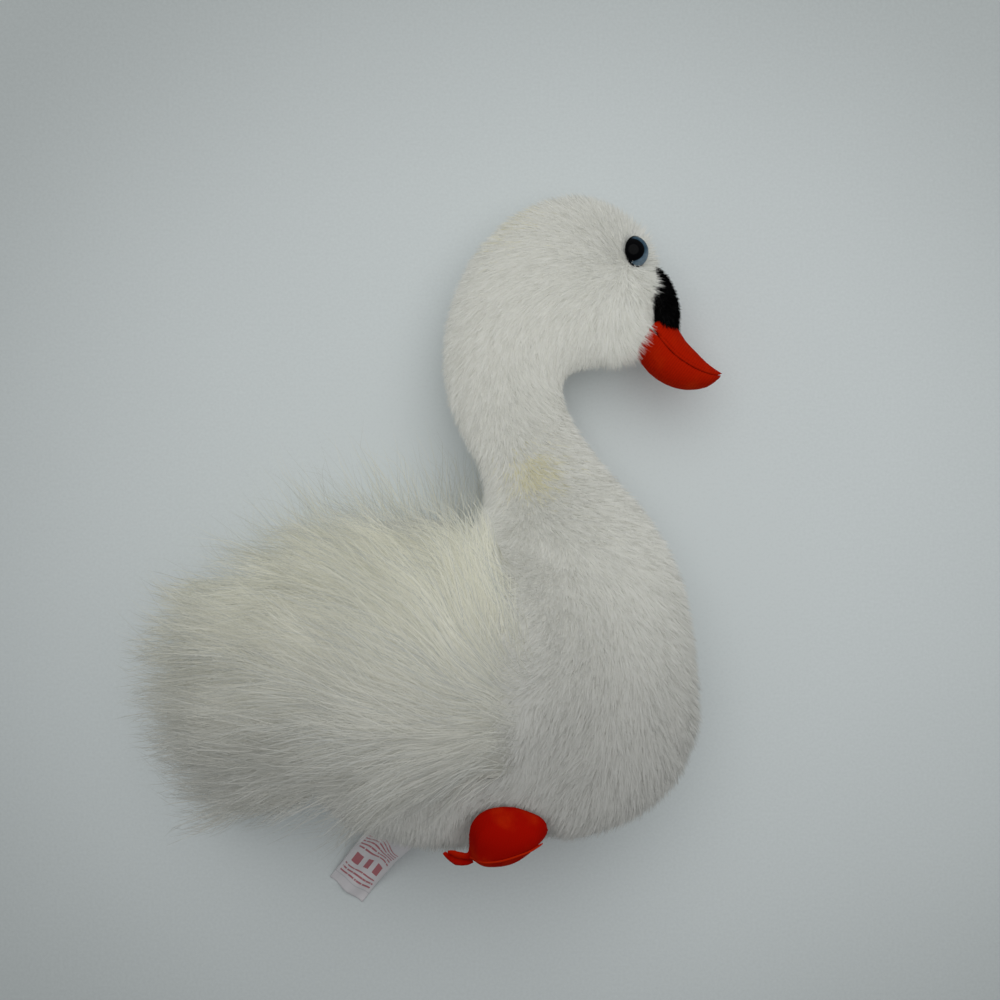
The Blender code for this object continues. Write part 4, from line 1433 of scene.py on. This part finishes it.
patch_cloth = ground_cloth("patch_cloth", NODES["face_patch"].copy(), 1.0 * MM, 1.2 * MM, 6)
patch_cloth.data.transform(Matrix.Translation(PATCH_SHIFT))
dressed(patch_cloth, BLACK_BACKING)
patch_places, patch_normals = surface(patch_cloth.data)
patch_ways = tangents(Comb(PATCH_STROKES, 8 * MM), patch_places, patch_normals)
patch_tip = PATCH_PILE * (0.6 * patch_ways + 0.8 * patch_normals)
low = np.clip((PATCH_FOOT - patch_places[:, 1:2]) / (6 * MM), 0, 1)
patch_tip += low * np.array([0.0, -1.6 * MM, 0.0])
give(patch_cloth.data, "tip", patch_tip)
give(patch_cloth.data, "mid", patch_tip * 0.5)
give(patch_cloth.data, "thick", np.ones(len(patch_places)))
give(patch_cloth.data, "stain_or_shade", np.full(len(patch_places), 0.1))
patch_pile = grown(
    "patch_pile", patch_cloth, Strands_per_square_metre=6e6, Seed=61, Segments=1,
    Width=0.7 * MM, Flatness=0.5, Length_spread=0.35, Stray=0.35, Lock_size=1.6 * MM,
    Lock_pull=0.4, Wave_size=4 * MM, Wave=0.6 * MM, Softness=0.5, **BLACK_PILE)
patch_corner = tube("patch_corner", np.array(PATCH_CORNER) * MM, 0.8 * MM, BLACK_BACKING)
for piece in (patch_cloth, patch_pile, patch_corner):
    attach(piece, "root")
    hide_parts("face_patch")

# %% [markdown]
# Each eye is one moulding: a black shank with a low glossy dome, printed from behind with a black
# pupil and a steel blue iris. The dome is turned on a lathe, and the print is drawn by how far a
# place lies from the eye's axis.

# %% The eyes
EYE_RADIUS = 6.75 * MM
EYE_DOME = 4.4 * MM
EYE_LEAN = math.radians(40)
PUPIL_RADIUS = 5.4 * MM
PUPIL_SHIFT = (0.2 * MM, 5.0 * MM)
IRIS_COLOUR = (0.022, 0.060, 0.095)
IRIS_PALE = (0.17, 0.24, 0.30)


def lathe(name, profile, frame_matrix, steps=64):
    bm = bmesh.new()
    rings = []
    for radius, height in profile:
        if radius == 0:
            rings.append([bm.verts.new((0, 0, height))])
            continue
        turns = [2 * math.pi * k / steps for k in range(steps)]
        rings.append([bm.verts.new((radius * math.cos(a), radius * math.sin(a), height))
                      for a in turns])
    for first, second in zip(rings, rings[1:]):
        for k in range(steps):
            j = (k + 1) % steps
            corners = [first[k % len(first)], first[j % len(first)],
                       second[j % len(second)], second[k % len(second)]]
            bm.faces.new(list(dict.fromkeys(corners)))
    bmesh.ops.recalc_face_normals(bm, faces=bm.faces)
    bmesh.ops.transform(bm, matrix=frame_matrix, verts=bm.verts)
    mesh = mesh_from(bm, name)
    mesh.shade_smooth()
    return new_object(name, mesh)


def eye_profile():
    """From the top of the dome, over its rim, to the middle of its back."""
    sphere = (EYE_RADIUS ** 2 + EYE_DOME ** 2) / (2 * EYE_DOME)
    span = math.asin(EYE_RADIUS / sphere)
    dome = [(sphere * math.sin(span * k / 14), EYE_DOME - sphere * (1 - math.cos(span * k / 14)))
            for k in range(15)]
    rim = [(EYE_RADIUS + 0.25 * MM, -0.35 * MM), (EYE_RADIUS, -0.9 * MM),
           (EYE_RADIUS - 1 * MM, -1.2 * MM), (0.0, -1.2 * MM)]
    return dome + rim


def eye_frame(node, lean):
    """Where the CAD eye's dome stands: its axis and the point on it at the dome's rim."""
    places = as_array(NODES[node].vertices, "co", 3).astype(float)
    axis = np.array([math.sin(EYE_LEAN), 0, math.cos(EYE_LEAN) * lean])
    height = places @ axis
    top = places[height > height.max() - 0.05 * MM].mean(0)
    turn = Vector(axis).to_track_quat("Z", "Y").to_matrix().to_4x4()
    return Matrix.Translation(Vector(top - axis * EYE_DOME)) @ turn


def eye_finish(name, matrix, shift, lean):
    finish = Finish(name, Roughness=0.05, Specular_IOR_Level=0.05)
    local = finish.mapped(finish.place(), location=matrix.to_translation(),
                          rotation=matrix.to_euler())
    x, y, _ = finish.parts(local)
    out = ((x * x + y * y) ** 0.5) / EYE_RADIUS
    off_x, off_y = x - shift[0], y - shift[1]
    from_pupil = (off_x * off_x + off_y * off_y) ** 0.5
    pupil = 1 - from_pupil.between(PUPIL_RADIUS - 0.25 * MM, PUPIL_RADIUS + 0.2 * MM)
    streaks = finish.noise(local, 900.0, 3.0)
    lower = (0 - x - y * lean).between(0.0, 5.0 * MM)
    iris = finish.mix(streaks.between(0.35, 0.7) * 0.25 + lower * 0.75, IRIS_COLOUR, IRIS_PALE)
    iris = finish.mix(out.between(0.955, 0.985), iris, (0.008, 0.010, 0.012))
    finish.set("Base Color", finish.mix(pupil, iris, (0.0015, 0.0015, 0.002)))
    return finish.material


for node, lean in (("right_eye", 1), ("left_eye", -1)):
    matrix = Matrix.Translation(EYE_DROP) @ eye_frame(node, lean)
    eye = lathe(node + "_dome", eye_profile(), matrix)
    shift = (PUPIL_SHIFT[0], PUPIL_SHIFT[1] * lean)
    eye.data.materials.append(eye_finish(node + "_print", matrix, shift, lean))
    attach(eye, "root")
    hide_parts(node)
washer_finish = Finish("washer_nylon", Roughness=0.35, Specular_IOR_Level=0.5)
washer_grain = washer_finish.noise(washer_finish.place(), 700.0, 3.0)
washer_finish.set("Base Color", washer_finish.mix(
    washer_grain, (0.70, 0.70, 0.66), (0.58, 0.58, 0.54)))
for node in ("right_eye_washer", "left_eye_washer"):
    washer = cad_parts[node]
    washer.data.materials.clear()
    washer.data.materials.append(washer_finish.material)
print("eyes and washers are finished")

# %% [markdown]
# The care label is a narrow satin ribbon, caught in the belly seam, crumpled, with its end on the
# table. It carries plain bars and squares of red, as a generic label does.

# %% The care label
LABEL_WIDTH = 20 * MM
LABEL_THICKNESS = 0.3 * MM
LABEL_RED = (0.40, 0.055, 0.075)
LABEL_WHITE = (0.72, 0.70, 0.71)
LABEL_PATH = [(-31, -60, 41), (-37, -72, 30), (-44, -81, 18), (-50, -88, 10), (-56, -96, 5),
              (-62, -104, 2.4), (-65.5, -108.5, 1.6)]
LABEL_STEPS_ACROSS = 24


def label_mesh():
    """A ribbon along the path, cupped and crumpled, and UV mapped in millimetres."""
    path = resampled(np.array(LABEL_PATH, float) * MM, 0.8 * MM)
    steps = unit(np.gradient(path, axis=0))
    along = np.concatenate([[0], np.cumsum(np.linalg.norm(np.diff(path, axis=0), axis=1))])
    bm = bmesh.new()
    uv_layer = bm.loops.layers.uv.new("cloth")
    rows = []
    for point, step, s in zip(path, steps, along):
        across = unit(np.cross(step, (0, 0, 1))[None])[0]
        up = unit(np.cross(across, step)[None])[0]
        row = []
        for k in range(LABEL_STEPS_ACROSS + 1):
            u = (k / LABEL_STEPS_ACROSS - 0.5) * LABEL_WIDTH
            crumple = (1.1 * MM * math.sin(u / (3.4 * MM) + s / (9 * MM))
                       + 0.6 * MM * math.sin(u / (1.9 * MM) - s / (4 * MM) + 1.0))
            place = point + across * u + up * crumple
            place[2] = max(place[2], 0.6 * MM)
            row.append((bm.verts.new(place), (u / MM, s / MM)))
        rows.append(row)
    for first, second in zip(rows, rows[1:]):
        for k in range(LABEL_STEPS_ACROSS):
            corners = (first[k], first[k + 1], second[k + 1], second[k])
            face = bm.faces.new([corner[0] for corner in corners])
            for loop, corner in zip(face.loops, corners):
                loop[uv_layer].uv = corner[1]
    bmesh.ops.recalc_face_normals(bm, faces=bm.faces)
    return mesh_from(bm, "care_label_ribbon"), float(along[-1])


def label_finish(length):
    finish = Finish("label_satin", Roughness=0.38, Specular_IOR_Level=0.5, Sheen_Weight=0.1)
    u, v, _ = finish.parts(finish.uv())
    ink = None
    for start, end, left, right, pitch in (
            (36, 50, -8.5, 8.5, 2.5), (61, 68, -8.5, 8.5, 2.4)):
        row = (v * (1 / pitch)).maths("FRACT", v * (1 / pitch))
        bar = (row > 0.35) * (row < 0.75)
        inside = (v > start) * (v < end) * (u > left) * (u < right)
        broken = finish.noise(finish.together(u * 0.9, (v / pitch).maths("FLOOR", v / pitch), 0.0),
                              1.0, 1.0) > 0.40
        block = bar * inside * broken
        ink = block if ink is None else ink + block
    square = (v > 52.5) * (v < 58.5)
    for left, right in ((-7.5, -4.5), (-2.0, 0.5), (3.0, 7.0)):
        ink = ink + square * (u > left) * (u < right)
    hem = (v > length / MM - 5.2) * (v < length / MM - 4.7)
    weave = finish.noise(finish.together(u * 12, v * 3, 0.0), 1.0, 2.0)
    cloth = finish.mix(weave * 0.35 + hem * 0.4, LABEL_WHITE, (0.44, 0.42, 0.44))
    finish.set("Base Color", finish.mix(ink * 0.85, cloth, LABEL_RED))
    finish.bump(weave - hem, 0.05 * MM, 0.6)
    return finish.material


ribbon_mesh, ribbon_length = label_mesh()
ribbon = new_object("care_label_ribbon", ribbon_mesh)
thicken = ribbon.modifiers.new("thickness", "SOLIDIFY")
thicken.thickness = LABEL_THICKNESS
thicken.offset = 0.0
ribbon = dressed(settled(ribbon), label_finish(ribbon_length))
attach(ribbon, "root")
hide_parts("care_label")
print("label length, mm:", round(ribbon_length / MM, 1))
